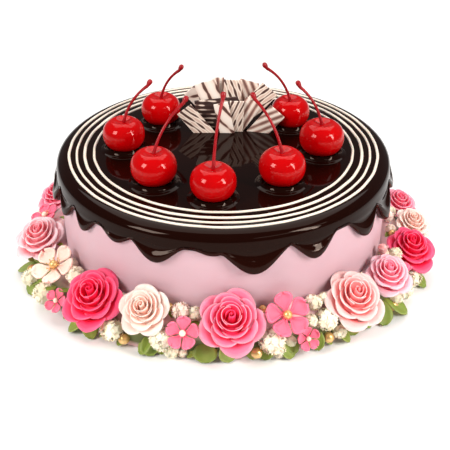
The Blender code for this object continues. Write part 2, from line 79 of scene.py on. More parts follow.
# The runs that show from the front: angle, length, half their width in degrees
FRONT_RUNS = (
    (-76.0, 12.0, 7.0),
    (-62.0, 9.0, 6.5),
    (-49.0, 7.5, 6.0),
    (-34.5, 4.5, 6.5),
    (-20.5, 8.5, 9.0),
    (-3.0, 2.2, 6.0),
    (9.2, 11.5, 11.5),
    (28.5, 9.5, 8.5),
    (50.5, 11.0, 9.0),
    (65.5, 14.0, 8.0),
)
BACK_SPACING = 15.0
BACK_SEED = 7

# Piped lines: radius, width
PIPED_LINES = ((69.0, 2.0), (73.9, 2.3), (78.1, 1.8), (82.0, 2.1))
LINE_HEIGHT = 0.7 * MM

# Cherries: name, angle, distance from the middle, diameter, and the stem's tip from the cherry's top
CHERRIES = (
    ("left", -86, 52.8, 22.2, (15.9, 1.0, 22.5)),
    ("back_left", -129, 45.2, 22.0, (13.1, -5.0, 20.3)),
    ("front_left", -40, 53.1, 23.0, (16.8, 13.0, 23.9)),
    ("front", -5, 55.5, 22.4, (5.0, 14.0, 32.4)),
    ("front_right", 35.5, 49.7, 23.2, (-15.3, 12.0, 26.0)),
    ("right", 80.5, 52.2, 23.4, (-14.3, 3.0, 22.3)),
    ("back_right", 124, 45.1, 21.6, (-16.0, -5.0, 23.0)),
)

# Slabs: name, x, y and height over the glaze of the top edge's middle, lean and turn in degrees, width,
# kind of chocolate, slant of its strokes in degrees, shift of the strokes in millimetres
SLABS = (
    ("back_far_left", -18.5, 29.2, 20.0, -42, 1, 9.0, "ivory", 58, 4.4),
    ("back_left", -10.2, 24.1, 26.5, -18, -1, 12.0, "ivory", 4, 7.4),
    ("back_narrow", -2.5, 27.5, 27.5, 0, 1, 6.0, "milk", 2, 0.8),
    ("back_centre", 5.5, 25.8, 26.8, 4, 1, 10.0, "slashed", 24, 1.5),
    ("back_right", 14.5, 27.5, 25.5, 16, -1, 11.0, "milk", 38, 3.0),
    ("back_far_right", 25.5, 22.4, 23.0, 42, 0, 11.0, "slashed", -8, 4.0),
    ("plaque", -4.0, 20.7, 18.0, -6, 0, 24.0, "dark", 82, 0.0),
    ("front_left", -21.5, 15.6, 14.0, -38, 1, 9.5, "slashed", 14, 2.2),
    ("front_centre", -1.5, 15.6, 17.5, -12, -1, 8.0, "ivory", 34, 1.2),
    ("front_middle", 7.5, 17.3, 18.0, 2, 0, 8.0, "slashed", -22, 2.2),
    ("front_right", 17.0, 19.0, 17.0, 35, 0, 10.0, "milk", 6, 1.6),
    ("right", 29.5, 13.6, 13.7, 38, -15, 10.0, "milk", -24, 4.1),
)
SLAB_THICKNESS = 1.2 * MM
# Long enough to reach the glaze from any lean, where it is cut off
SLAB_LENGTH = 60.0 * MM

# Kinds of chocolate: name, ramp from stroke to ground, millimetres between strokes, how far they
# wander, how often they break
MARBLINGS = {
    "ivory": (
        "ivory_marbled_chocolate",
        ((0.0, "#573a33"), (0.10, "#73524a"), (0.14, "#b99a8b"), (0.24, "#e4d0c1"), (1.0, "#eddfd3")),
        6.0,
        2.0,
        0.2,
    ),
    "slashed": (
        "slashed_ivory_chocolate",
        ((0.0, "#4c332e"), (0.26, "#5a3d36"), (0.33, "#d5bfae"), (0.70, "#e9dbcd"), (1.0, "#cfb3a3")),
        3.0,
        1.8,
        0.3,
    ),
    "milk": (
        "striped_milk_chocolate",
        ((0.0, "#75534b"), (0.20, "#8a665b"), (0.30, "#b59284"), (0.66, "#c6a798"), (0.80, "#e6d6c9")),
        3.6,
        0.8,
        0.1,
    ),
    "dark": (
        "scratched_dark_chocolate",
        ((0.0, "#35221f"), (0.80, "#432c28"), (0.90, "#93756a"), (1.0, "#e0cebf")),
        2.6,
        1.5,
        -0.5,
    ),
}

# The buttercream bed under the wreath: its slope lies where radius and height add up to BED_SUM
BED_SUM = 112.6 * MM
BED_INNER = 88.2 * MM
BED_SIDES = 192

# Roses: name, angle, radius, height, diameter, colour, turn of the spiral in degrees
ROSES = (
    ("left_candy", -104, 102.0, 17.5, 22.5, "rose", 40),
    ("left_blush", -76.5, 102.5, 19.5, 27.5, "shell", 200),
    ("front_magenta", -38.5, 101.5, 21.5, 30.5, "magenta", 15),
    ("front_cream", -22.1, 99.6, 24.5, 24.5, "cream", 110),
    ("front_candy", 2, 100.2, 23.9, 30.2, "candy", 75),
    ("front_blush", 38.8, 101.4, 20.6, 30.3, "blush", 250),
    ("right_pink", 55.5, 101.6, 19.2, 24.0, "pink", 320),
    ("right_magenta", 73, 105.5, 16.8, 27.0, "magenta", 140),
    ("right_cream", 87, 107.0, 17.0, 21.0, "cream", 30),
    ("right_candy", 99, 104.5, 17.0, 21.5, "rose", 290),
    ("back_blush", 133, 101.5, 20.5, 29.0, "blush", 60),
    ("back_pink", 149.8, 100.0, 22.0, 24.0, "pink", 170),
    ("back_magenta", 181, 100.5, 23.0, 30.0, "magenta", 230),
    ("back_cream", 198.3, 100.0, 22.5, 25.0, "cream", 0),
    ("back_candy", 230, 101.5, 20.5, 29.0, "candy", 100),
)

# Rose tiers: petals, share of the half width at the base and rim, rise of the base and rim,
# half span in degrees, turn in degrees, roll of the rim, how upright the petal stands
TIERS = (
    (5, 0.43, 1.06, -0.50, -0.02, 47, 0, 0.075, 0.22),
    (5, 0.36, 0.84, -0.40, 0.15, 47, 36, 0.060, 0.38),
    (5, 0.31, 0.63, -0.33, 0.28, 48, 14, 0.045, 0.58),
    (4, 0.25, 0.45, -0.24, 0.39, 60, 8, 0.030, 0.85),
    (3, 0.17, 0.29, -0.14, 0.46, 78, 60, 0.012, 1.15),
)
# A bud's one tier of petals, in the same order
BUD_TIER = (3, 0.36, 0.66, -0.60, 0.42, 78, 0, 0.02, 1.0)
# Closed cores as (radius, height) in half widths: a hip under a rose, a teardrop in a bud
HIP = ((0.40, -0.52), (0.52, -0.36), (0.56, -0.14), (0.40, 0.0), (0.10, 0.14))
TEARDROP = ((0.20, -0.60), (0.50, -0.35), (0.60, 0.0), (0.52, 0.35), (0.32, 0.65), (0.08, 0.82))
# How far a rose's heart leans up the wreath, as a share of its rise
ROSE_LEAN = 0.36
# How far roses at the sides turn towards the front, as a share of their angle
ROSE_TURN = 0.55

# Blossoms: name, angle, radius, height, diameter, colour, tilt of the face, pearl, stamens
BLOSSOMS = (
    ("left", -90.8, 101.0, 17.0, 16.0, "rose", 0, "ivory", True),
    ("cream", -58.3, 100.6, 20.2, 22.5, "cream", 0, "gold", True),
    ("small_left", -51.4, 107.0, 9.6, 12.5, "rose", -18, "ivory", False),
    ("front_left", -10.6, 102.3, 17.0, 15.5, "rose", 0, "ivory", False),
    ("front_right", 17.4, 98.7, 22.8, 21.0, "rose", 0, "gold", False),
    ("small_right", 22.6, 104.0, 10.2, 11.5, "rose", -18, "ivory", False),
    ("back_right", 117, 99.5, 20.0, 20.0, "pink", 0, "gold", False),
    ("back_cream", 165.5, 99.0, 22.5, 21.5, "cream", 0, "gold", True),
    ("back_pink", 214.3, 99.0, 21.5, 20.0, "candy", 0, "ivory", False),
    ("back_left", 243.7, 99.0, 19.5, 16.0, "pink", 0, "ivory", False),
)
# Rose pink shares the slot of candy pink, and shell that of blush
PASTE_SLOTS = {"rose": "candy", "shell": "blush"}

# Buds: name, angle, radius, height, diameter, colour, tilt
BUDS = (
    ("blush", 62.8, 93.2, 24.5, 6.4, "blush", 30),
    ("pink", 64.2, 105.5, 15.0, 6.4, "candy", 0),
    ("cream", 87.5, 93.2, 20.5, 7.4, "cream", 30),
)

# Heads of filler flowers: angle, radius, height, diameter, share of pink
HEADS = (
    (-97.0, 108.0, 7.4, 9.5, 0.0),
    (-68.0, 110.8, 4.6, 8.0, 0.0),
    (-58.8, 108.5, 5.8, 9.5, 0.0),
    (-58.0, 92.6, 19.5, 6.2, 0.3),
    (-51.6, 95.4, 20.2, 8.0, 0.1),
    (-31.2, 103.8, 9.6, 9.5, 0.0),
    (-16.6, 102.2, 11.5, 9.5, 0.0),
    (-14.2, 101.0, 4.0, 6.6, 0.0),
    (-12.5, 93.2, 22.8, 7.2, 0.7),
    (13.0, 102.2, 11.8, 10.5, 0.2),
    (14.8, 101.0, 4.0, 6.6, 0.2),
    (27.8, 93.8, 21.4, 6.1, 0.0),
    (29.4, 100.8, 15.2, 9.0, 0.0),
    (33.0, 103.5, 6.9, 6.2, 0.0),
    (47.2, 93.0, 20.5, 6.0, 0.4),
    (56.0, 107.0, 8.2, 7.4, 0.0),
    (61.4, 108.2, 4.2, 7.2, 0.0),
    (67.6, 109.2, 5.0, 8.0, 0.1),
    (85.0, 110.8, 5.6, 8.4, 0.0),
    (93.2, 96.0, 18.0, 5.6, 0.0),
    (108.0, 108.0, 8.0, 9.0, 0.0),
    (-31.8, 92.4, 20.6, 4.6, 0.5),
    (-11.2, 99.9, 3.2, 4.0, 0.3),
    (-8.3, 92.2, 21.6, 5.7, 0.1),
    (18.7, 100.6, 8.0, 4.4, 0.0),
    (24.9, 99.1, 15.8, 5.7, 0.0),
    (27.2, 92.6, 22.2, 5.2, 0.5),
    (31.7, 92.8, 21.4, 4.6, 0.0),
    (64.7, 92.8, 20.4, 5.1, 0.4),
    (68.0, 98.4, 17.6, 6.3, 0.0),
    (81.3, 93.6, 18.8, 4.8, 0.5),
    (88.5, 112.0, 7.4, 6.4, 0.5),
)

# Gold pearls: angle, radius, height, diameter
PEARLS = (
    (-72.4, 109.0, 5.2, 5.4),
    (-28.0, 102.4, 5.2, 5.9),
    (-16.2, 91.8, 22.8, 4.4),
    (8.7, 103.4, 6.6, 5.6),
    (11.6, 91.6, 22.8, 4.2),
    (29.8, 102.6, 4.9, 5.7),
    (54.2, 107.0, 3.7, 6.2),
    (72.0, 108.8, 4.8, 5.0),
    (79.0, 94.6, 18.6, 4.4),
)

# Leaves: angle and radius of the tip, swing of the base in degrees, width
LEAVES = (
    (-104.0, 114.5, 5, 9.0),
    (-76.5, 116.0, -5, 10.0),
    (-64.0, 114.0, 5, 9.0),
    (-44.5, 110.3, -4, 9.5),
    (-37.0, 107.5, 4, 8.0),
    (-22.9, 104.4, -3, 9.5),
    (-19.4, 104.2, 2, 9.5),
    (-4.9, 103.6, 0, 12.0),
    (2.2, 102.2, 2, 11.0),
    (10.6, 102.8, -2, 9.0),
    (18.4, 104.9, 2, 9.5),
    (25.5, 104.6, -2, 7.0),
    (35.5, 107.0, 3, 9.0),
    (47.0, 110.7, -4, 10.0),
    (55.5, 114.5, 3, 11.0),
    (68.0, 116.5, -4, 8.0),
    (78.0, 115.4, 4, 9.0),
    (88.5, 115.4, -4, 8.0),
    (104.0, 115.0, 5, 8.5),
)

# Flower pastes: name, and the colours deep in the folds where shade is painted, half way, pale, and along
# the rim where a highlight is painted
PASTES = {
    "magenta": ("magenta_flower_paste", "#ee1742", "#f52a57", "#fb4a72", "#fb6586"),
    "candy": ("candy_pink_flower_paste", "#fc3462", "#fb5c82", "#fc829b", "#fd9eaf"),
    "rose": ("rose_pink_flower_paste", "#f15b77", "#f57690", "#f992a4", "#fbadba"),
    "pink": ("soft_pink_flower_paste", "#ff7d95", "#fea0af", "#feb8c3", "#fec8d1"),
    "blush": ("blush_flower_paste", "#ff888a", "#feadaa", "#fec3be", "#fed2ce"),
    "shell": ("shell_flower_paste", "#ff8a96", "#feb0b7", "#fec7cc", "#fed6d9"),
    "cream": ("cream_flower_paste", "#ffcdbc", "#fed4c6", "#fedbce", "#fee0d5"),
}

# Lights in metres and watts: name, place, aim, width and height, power, tint
LIGHTS = (
    ("window_left", (-0.60, -0.46, 0.58), (0, 0, 0.05), (0.29, 0.38), 7.0, "#fffdfa"),
    ("window_right", (0.62, -0.42, 0.52), (0, 0, 0.05), (0.15, 0.46), 5.8, "#fffdfa"),
    ("low_window", (0.75, -0.50, 0.30), (0, 0, 0.05), (0.06, 0.16), 1.1, "#fffaf4"),
    ("window_rail", (0.55, -0.51, 0.66), (0, 0, 0.05), (0.75, 0.05), 1.0, "#fffdfa"),
    ("ceiling", (0.0, 0.62, 1.4), (0, 0.1, 0), (1.9, 1.3), 21.5, "#ffffff"),
)
ROOM_STRENGTH = 0.2

# The camera in metres, with its lens and film in millimetres
CAMERA_PLACE = (0.0, -0.387, 0.2598)
CAMERA_AIM = (0.0, 0.0, 0.01265)
LENS = 64.1
FILM_WIDTH = 36.0
LENS_SHIFT = 0.0036


# Working by hand


def drop_selection():
    """Leaves edit mode and lets go of everything, so that an operator acts only on what comes next."""
    if bpy.context.mode != "OBJECT":
        bpy.ops.object.mode_set(mode="OBJECT")
    bpy.ops.object.select_all(action="DESELECT")


def take(obj):
    """Makes this the only selected object and the active one."""
    drop_selection()
    obj.select_set(True)
    bpy.context.view_layer.objects.active = obj
    return obj


def added(name):
    """Names the primitive that was just added."""
    obj = bpy.context.object
    obj.name = name
    obj.data.name = name
    return obj


def polar(angle, radius, height):
    """A point at that angle round the cake."""
    turn = math.radians(angle)
    return Vector((radius * math.sin(turn), -radius * math.cos(turn), height))


def round_row(radius_at, height_at, sides):
    """A row of points round the cake, with radius and height as functions of the angle."""
    angles = [360.0 * i / sides for i in range(sides)]
    return [polar(a, radius_at(a), height_at(a)) for a in angles]


def level_row(radius, height, sides, middle=Vector((0, 0, 0))):
    """A round row of one radius and height."""
    return [middle + p for p in round_row(lambda a: radius, lambda a: height, sides)]


def drawn_up(name, rows, cap_start=False, cap_end=False):
    """A circle is added on the first row and extruded row by row, each new ring set on its own points."""
    drop_selection()
    bpy.ops.mesh.primitive_circle_add(vertices=len(rows[0]), radius=1.0)
    obj = added(name)
    bpy.ops.object.mode_set(mode="EDIT")
    bpy.ops.mesh.select_all(action="SELECT")
    form = bmesh.from_edit_mesh(obj.data)
    marks = []
    for vert, place in zip(form.verts, rows[0]):
        vert.co = place
        marks.append(vert.co.to_tuple(7))
    bmesh.update_edit_mesh(obj.data)
    for row in rows[1:]:
        bpy.ops.mesh.extrude_region_move(TRANSFORM_OT_translate={"value": (0, 0, 0)})
        form = bmesh.from_edit_mesh(obj.data)
        fresh = {v.co.to_tuple(7): v for v in form.verts if v.select}
        for i, place in enumerate(row):
            vert = fresh[marks[i]]
            vert.co = place
            marks[i] = vert.co.to_tuple(7)
        bmesh.update_edit_mesh(obj.data)
    if cap_end:
        bpy.ops.mesh.merge(type="CENTER")
    if cap_start:
        bpy.ops.mesh.select_all(action="DESELECT")
        form = bmesh.from_edit_mesh(obj.data)
        for edge in form.edges:
            edge.select = edge.is_boundary
        bmesh.update_edit_mesh(obj.data)
        bpy.ops.mesh.edge_face_add()
    bpy.ops.mesh.select_all(action="SELECT")
    bpy.ops.mesh.normals_make_consistent(inside=False)
    bpy.ops.object.mode_set(mode="OBJECT")
    bpy.ops.object.shade_smooth()
    return obj


def bent_sheet(name, columns, rows, place):
    """A grid is added and bent to shape: place gives a point for u from -1 to 1 and v from 0 to 1."""
    drop_selection()
    bpy.ops.mesh.primitive_grid_add(x_subdivisions=columns, y_subdivisions=rows, size=2.0)
    obj = added(name)
    spread = [(v.co.x, 0.5 + 0.5 * v.co.y) for v in obj.data.vertices]
    for vert, (u, v) in zip(obj.data.vertices, spread):
        vert.co = place(u, v)
    bpy.ops.object.shade_smooth()
    return obj, spread


def painted(obj, name, values):
    """Stores one number for each vertex, for a material to read."""
    layer = obj.data.attributes.get(name) or obj.data.attributes.new(name, "FLOAT", "POINT")
    layer.data.foreach_set("value", list(values))


def thickened(obj, thickness):
    """Gives a sheet its thickness, half to each side."""
    take(obj)
    wall = obj.modifiers.new("wall", "SOLIDIFY")
    wall.thickness = thickness
    wall.offset = 0.0
    bpy.ops.object.modifier_apply(modifier=wall.name)
    return obj


def copy_of(obj, place, name=None):
    """A copy with its own mesh, moved by a matrix into its place."""
    twin = obj.copy()
    twin.data = obj.data.copy()
    twin.name = name or obj.name
    bpy.context.scene.collection.objects.link(twin)
    twin.data.transform(place)
    if place.determinant() < 0:
        twin.data.flip_normals()
    return twin


def joined(name, objs):
    """Joins the pieces into one object."""
    drop_selection()
    for obj in objs:
        obj.select_set(True)
    bpy.context.view_layer.objects.active = objs[0]
    if len(objs) > 1:
        bpy.ops.object.join()
    return added(name)


def thrown_away(objs):
    """Removes the forms that were only copied from."""
    for obj in objs:
        bpy.data.objects.remove(obj)


def dressed(obj, *finishes):
    """Gives the piece its materials in order."""
    obj.data.materials.clear()
    for finish in finishes:
        obj.data.materials.append(finish)
    return obj


def with_back(rows):
    """The rows, which start with their angle, then those of the front 120 degrees again at the back."""
    return list(rows) + [(row[0] + 180.0, *row[1:]) for row in rows if abs(row[0]) < 60.0]


def settled(obj, slot, *nodes):
    """The piece rides on the cake and stands for its CAD nodes; its slot is not used."""
    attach(obj, "root")
    if nodes:
        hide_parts(*nodes)


# Finishes


def linear(code):
    """An sRGB hex colour as linear red, green, blue and alpha."""
    parts = [int(code[i : i + 2], 16) / 255 for i in (1, 3, 5)]
    return (*(c / 12.92 if c <= 0.04045 else ((c + 0.055) / 1.055) ** 2.4 for c in parts), 1.0)


def wire(tree, kind, sockets=None, **settings):
    """Adds one node; a socket gets a link where it is given an output, and else that value."""
    node = tree.nodes.new(kind)
    for setting, value in settings.items():
        setattr(node, setting, value)
    for socket, value in (sockets or {}).items():
        if isinstance(value, bpy.types.NodeSocket):
            tree.links.new(value, node.inputs[socket])
        else:
            node.inputs[socket].default_value = value
    return node


def finish(name, roughness, ior=1.45, metallic=0.0, **more):
    """A new material with its shader's own values set."""
    made = bpy.data.materials.new(name)
    made.use_nodes = True
    shader = made.node_tree.nodes["Principled BSDF"]
    shader.inputs["Roughness"].default_value = roughness
    shader.inputs["IOR"].default_value = ior
    shader.inputs["Metallic"].default_value = metallic
    for socket, value in more.items():
        shader.inputs[socket.replace("_", " ")].default_value = value
    return made, made.node_tree, shader


def blended(tree, share, first, second):
    """A colour between two, by a share."""
    # A mix node keeps its colours on inputs 6 and 7 and gives the colour on output 2
    return wire(tree, "ShaderNodeMix", {0: share, 6: first, 7: second}, data_type="RGBA").outputs[2]


def grain(tree, size, detail=2.0, stretch=(1, 1, 1)):
    """Noise with features of that real size in metres, on the piece's own coordinates."""
    spot = wire(tree, "ShaderNodeTexCoord").outputs["Object"]
    mapped = wire(tree, "ShaderNodeMapping", {"Vector": spot, "Scale": stretch}).outputs[0]
    sockets = {"Vector": mapped, "Scale": 1.0 / size, "Detail": detail}
    return wire(tree, "ShaderNodeTexNoise", sockets).outputs["Fac"]


def relief(tree, shader, height, depth):
    """Bump of that depth in metres."""
    sockets = {"Height": height, "Distance": depth, "Strength": 1.0}
    bump = wire(tree, "ShaderNodeBump", sockets)
    tree.links.new(bump.outputs[0], shader.inputs["Normal"])


def steps(tree, value, stops):
    """A colour ramp through (place, colour) stops."""
    ramp = wire(tree, "ShaderNodeValToRGB", {"Fac": value})
    marks = ramp.color_ramp.elements
    while len(marks) < len(stops):
        marks.new(1.0)
    for mark, (place, colour) in zip(marks, stops):
        mark.position = place
        mark.color = linear(colour)
    return ramp.outputs[0]


def value_of(tree, name):
    """A number that was painted on the piece."""
    return wire(tree, "ShaderNodeAttribute", attribute_name=name).outputs["Fac"]


def buttercream():
    """Pink buttercream smoothed with a palette knife: soft and matt, with faint level strokes."""
    made, tree, shader = finish(
        "pink_buttercream", 0.55, 1.46, Subsurface_Weight=0.25, Subsurface_Scale=0.004
    )
    shader.inputs["Subsurface Radius"].default_value = (1.0, 0.45, 0.4)
    cloud = grain(tree, 28 * MM)
    colour = blended(tree, cloud, linear("#c29ba4"), linear("#c8a9b0"))
    tree.links.new(colour, shader.inputs["Base Color"])
    # Knife strokes about 2 mm high and 15 mm long
    relief(tree, shader, grain(tree, 9 * MM, 3.0, (0.6, 0.6, 4.0)), 0.12 * MM)
    return made


def mirror_glaze():
    """Poured chocolate glaze set with syrup: near black, mirror smooth, with a red-brown glow of light
    through it painted along the lower edge of its runs.
    """
    made, tree, shader = finish(
        "chocolate_mirror_glaze", 0.05, 1.49, Specular_IOR_Level=0.11, Specular_Tint=linear("#ffe4d4")
    )
    lip = value_of(tree, "lip")
    # Painted glow: red-brown where light would shine through the glaze at its lower edge
    glow_tint = blended(tree, lip, linear("#140402"), linear("#2a0a05"))
    tree.links.new(glow_tint, shader.inputs["Base Color"])
    # The pour leaves slow waves about 25 mm long
    relief(tree, shader, grain(tree, 25 * MM, 1.0), 0.10 * MM)
    return made


def piped_icing():
    """Ivory icing from a small round nozzle: smooth, satin, a little uneven along the line."""
    made, tree, shader = finish("ivory_icing", 0.42, 1.47, Subsurface_Weight=0.1, Subsurface_Scale=0.001)
    colour = blended(tree, grain(tree, 5 * MM), linear("#dccdbd"), linear("#e6d9cb"))
    tree.links.new(colour, shader.inputs["Base Color"])
    relief(tree, shader, grain(tree, 2.5 * MM), 0.06 * MM)
    return made


def glace_cherry():
    """Glace cherry soaked in red syrup: clear wet skin over saturated flesh, with shade painted darker low
    down.
    """
    made, tree, shader = finish(
        "glace_cherry_red", 0.10, 1.46, Specular_IOR_Level=0.30, Specular_Tint=linear("#ffd2cc")
    )
    # Painted shade: the red darkens on the lower part of the fruit
    low = value_of(tree, "low")
    colour = blended(tree, low, linear("#b20204"), linear("#6a0002"))
    mottled = blended(tree, grain(tree, 6 * MM), colour, linear("#a40104"))
    tree.links.new(mottled, shader.inputs["Base Color"])
    relief(tree, shader, grain(tree, 7 * MM, 1.0), 0.10 * MM)
    return made


def cherry_stem():
    """Cherry stem stained by syrup: slender, woody, dark red, paler in patches."""
    made, tree, shader = finish("stained_cherry_stem", 0.28, 1.45, Specular_IOR_Level=0.35)
    colour = blended(tree, grain(tree, 3 * MM), linear("#7a050c"), linear("#a30c16"))
    tree.links.new(colour, shader.inputs["Base Color"])
    relief(tree, shader, grain(tree, 1.2 * MM), 0.08 * MM)
    return made


def marbled(name, stops, spacing, wander, breaks):
    """Cast chocolate with strokes of another chocolate through it: satin, clean edged, broken in places.

    The strokes are that many millimetres apart on the slab's own stored coordinates."""
    made, tree, shader = finish(name, 0.4, 1.46, Coat_Weight=0.1)
    slab = wire(tree, "ShaderNodeAttribute", attribute_name="slab").outputs["Vector"]
    # One wave is 0.314 units long at scale 1
    sockets = {"Vector": slab, "Scale": 0.314 / spacing, "Distortion": wander, "Detail": 1.0}
    sockets["Detail Scale"] = 0.6
    band = wire(tree, "ShaderNodeTexWave", sockets, wave_type="BANDS", bands_direction="X").outputs["Fac"]
    # Breaks about 5 mm apart
    patch = wire(tree, "ShaderNodeTexNoise", {"Vector": slab, "Scale": 0.2, "Detail": 0.0}).outputs["Fac"]
    sockets = {"Value": patch, "From Min": 0.35, "From Max": 0.65}
    sockets |= {"To Min": -0.4 * breaks, "To Max": breaks}
    lift = wire(tree, "ShaderNodeMapRange", sockets).outputs[0]
    stroke = wire(tree, "ShaderNodeMath", {0: band, 1: lift}, operation="ADD", use_clamp=True).outputs[0]
    tree.links.new(steps(tree, stroke, stops), shader.inputs["Base Color"])
    relief(tree, shader, stroke, 0.08 * MM)
    return made


def sugar_petal(name, deep, middle, pale, rim):
    """Flower paste petal, rolled out finely and dusted: matt, with shade painted deep in the folds and a
    highlight painted pale along its rim.
    """
    made, tree, shader = finish(
        name, 0.55, 1.45, Subsurface_Weight=0.5, Subsurface_Scale=0.0022, Specular_IOR_Level=0.3
    )
    shader.inputs["Subsurface Radius"].default_value = (1.0, 0.5, 0.5)
    # The tone runs from shade painted deep in the folds to the paste's pale colour
    tone_and_fold_shade = value_of(tree, "tone_and_fold_shade")
    colour = steps(tree, tone_and_fold_shade, ((0.0, deep), (0.5, middle), (1.0, pale)))
    # Painted highlight: the rim colour is mixed in towards the petal's edge
    edge = wire(tree, "ShaderNodeMapRange", {"Value": value_of(tree, "rim"), 1: 0.86, 2: 1.02})
    colour = blended(tree, edge.outputs[0], colour, linear(rim))
    tree.links.new(colour, shader.inputs["Base Color"])
    # Dusting powder has a grain of a few hundredths of a millimetre; it is drawn at 0.5 mm to show
    relief(tree, shader, grain(tree, 0.5 * MM), 0.03 * MM)
    return made


def leaf_paste():
    """Green flower paste leaf: matt, olive, paler along its rim and veins."""
    made, tree, shader = finish("olive_sugar_leaf", 0.5, 1.45, Subsurface_Weight=0.08)
    shader.inputs["Subsurface Scale"].default_value = 0.001
    cloud = blended(tree, grain(tree, 7 * MM), linear("#6c802a"), linear("#8c9e42"))
    colour = blended(tree, value_of(tree, "vein"), cloud, linear("#a3aa62"))
    tree.links.new(colour, shader.inputs["Base Color"])
    relief(tree, shader, grain(tree, 1.0 * MM), 0.05 * MM)
    return made


def filler_flower():
    """Tiny piped filler flowers: cream white and matt, greener in their throats, with shade painted on the
    ball between them, some with a pink blush.
    """
    made, tree, shader = finish("cream_filler_flower", 0.6, 1.45, Subsurface_Weight=0.15)
    shader.inputs["Subsurface Scale"].default_value = 0.001
    warm = blended(tree, value_of(tree, "pink"), linear("#fff4da"), linear("#fad3ca"))
    # Greenish in the floret throats, and as painted shade on the ball in the gaps between florets
    colour = blended(tree, value_of(tree, "throat_and_gap_shade"), warm, linear("#e9e2bd"))
    tree.links.new(colour, shader.inputs["Base Color"])
    return made


def lustre_pearl(name, dark, light, metallic, roughness):
    """Sugar pearl tumbled in lustre dust: smooth, glowing, a little uneven."""
    made, tree, shader = finish(name, roughness, 1.5, metallic, Coat_Weight=0.3)
    colour = blended(tree, grain(tree, 2 * MM), linear(dark), linear(light))
    tree.links.new(colour, shader.inputs["Base Color"])
    relief(tree, shader, grain(tree, 0.8 * MM), 0.02 * MM)
    return made


def bed_cream():
    """The piped border that the flowers are pressed into: rough pink cream, painted dark olive on its slope
    for leaves and shade.
    """
    made, tree, shader = finish(
        "pink_border_cream", 0.65, 1.45, Subsurface_Weight=0.2, Subsurface_Scale=0.002
    )
    colour = blended(tree, grain(tree, 5 * MM, 3.0), linear("#d7a6a8"), linear("#eac6c8"))
    spot = wire(tree, "ShaderNodeTexCoord").outputs["Object"]
    height = wire(tree, "ShaderNodeSeparateXYZ", {0: spot}).outputs["Z"]
    # Painted dark olive from 4 to 10 mm up, fading out above and below: leaf colour and painted shade under
    # the flowers
    low = wire(tree, "ShaderNodeMapRange", {"Value": height, 1: 0.017, 2: 0.010})
    high = wire(tree, "ShaderNodeMapRange", {"Value": height, 1: 0.0015, 2: 0.004})
    shade = wire(tree, "ShaderNodeMath", {0: low.outputs[0], 1: high.outputs[0]}, operation="MULTIPLY")
    colour = blended(tree, shade.outputs[0], colour, linear("#5f6436"))
    tree.links.new(colour, shader.inputs["Base Color"])
    relief(tree, shader, grain(tree, 4 * MM, 3.0), 0.6 * MM)
    return made


# Cake and glaze


def make_cake(cream):
    """A cylinder primitive, spread at its foot and rounded at its top edge."""
    drop_selection()
    bpy.ops.mesh.primitive_cylinder_add(
        vertices=240, radius=CAKE_TOP_RADIUS, depth=CAKE_HEIGHT, location=(0, 0, 0.5 * CAKE_HEIGHT)
    )
    cake = added("buttercream_cake")
    bpy.ops.object.transform_apply(location=True, rotation=True, scale=True)
    bpy.ops.object.mode_set(mode="EDIT")
    bpy.ops.mesh.select_all(action="DESELECT")
    form = bmesh.from_edit_mesh(cake.data)
    for face in form.faces:
        face.select = face.normal.z < -0.9
    bmesh.update_edit_mesh(cake.data)
    spread = CAKE_FOOT / CAKE_TOP_RADIUS
    bpy.ops.transform.resize(value=(spread, spread, 1.0), center_override=(0, 0, 0))
    bpy.ops.mesh.select_all(action="DESELECT")
    form = bmesh.from_edit_mesh(cake.data)
    form.edges.ensure_lookup_table()
    for edge in form.edges:
        edge.select = all(v.co.z > 0.9 * CAKE_HEIGHT for v in edge.verts)
    bmesh.update_edit_mesh(cake.data)
    bpy.ops.mesh.bevel(offset=CAKE_ROUNDING, segments=5, affect="EDGES")
    bpy.ops.object.mode_set(mode="OBJECT")
    bpy.ops.object.shade_smooth_by_angle(angle=math.radians(40))
    dressed(cake, cream)
    settled(cake, "frosting", "cake_body")


def glaze_runs():
    """The runs at the front, then seeded ones for the rest of the way round."""
    draw = random.Random(BACK_SEED)
    runs = list(FRONT_RUNS)
    angle = FRONT_RUNS[-1][0] + BACK_SPACING
    while angle < 360.0 + FRONT_RUNS[0][0] - 0.6 * BACK_SPACING:
        runs.append((angle, draw.uniform(6.0, 14.0), draw.uniform(6.5, 9.0)))
        angle += BACK_SPACING + draw.uniform(-1.5, 1.5)
    return runs


def run_length(angle, runs):
    """How far the glaze hangs below its hem at this angle."""
    longest = 0.0
    for centre, length, half_width in runs:
        away = abs((angle - centre + 180.0) % 360.0 - 180.0)
        if away < half_width:
            longest = max(longest, length * math.cos(0.5 * math.pi * away / half_width) ** 1.5)
    return longest * MM


def collar(cherry_angle, distance, diameter):
    """The glaze that creeps up round a cherry: a hollow fillet with a rounded outer edge."""
    half = 0.5 * diameter * MM
    middle = polar(cherry_angle, distance * MM, TOP_HEIGHT)
    profile = (
        (1.16, -0.10),
        (1.13, 0.10),
        (1.09, 0.28),
        (1.03, 0.45),
        (0.98, 0.80),
        (0.93, 1.40),
        (0.90, 2.10),
        (0.88, 2.70),
    )
    rows = [level_row(share * half, rise * MM, 96, middle) for share, rise in profile]
    made = drawn_up("collar", rows)
    painted(made, "lip", [0.0] * len(made.data.vertices))
    return made


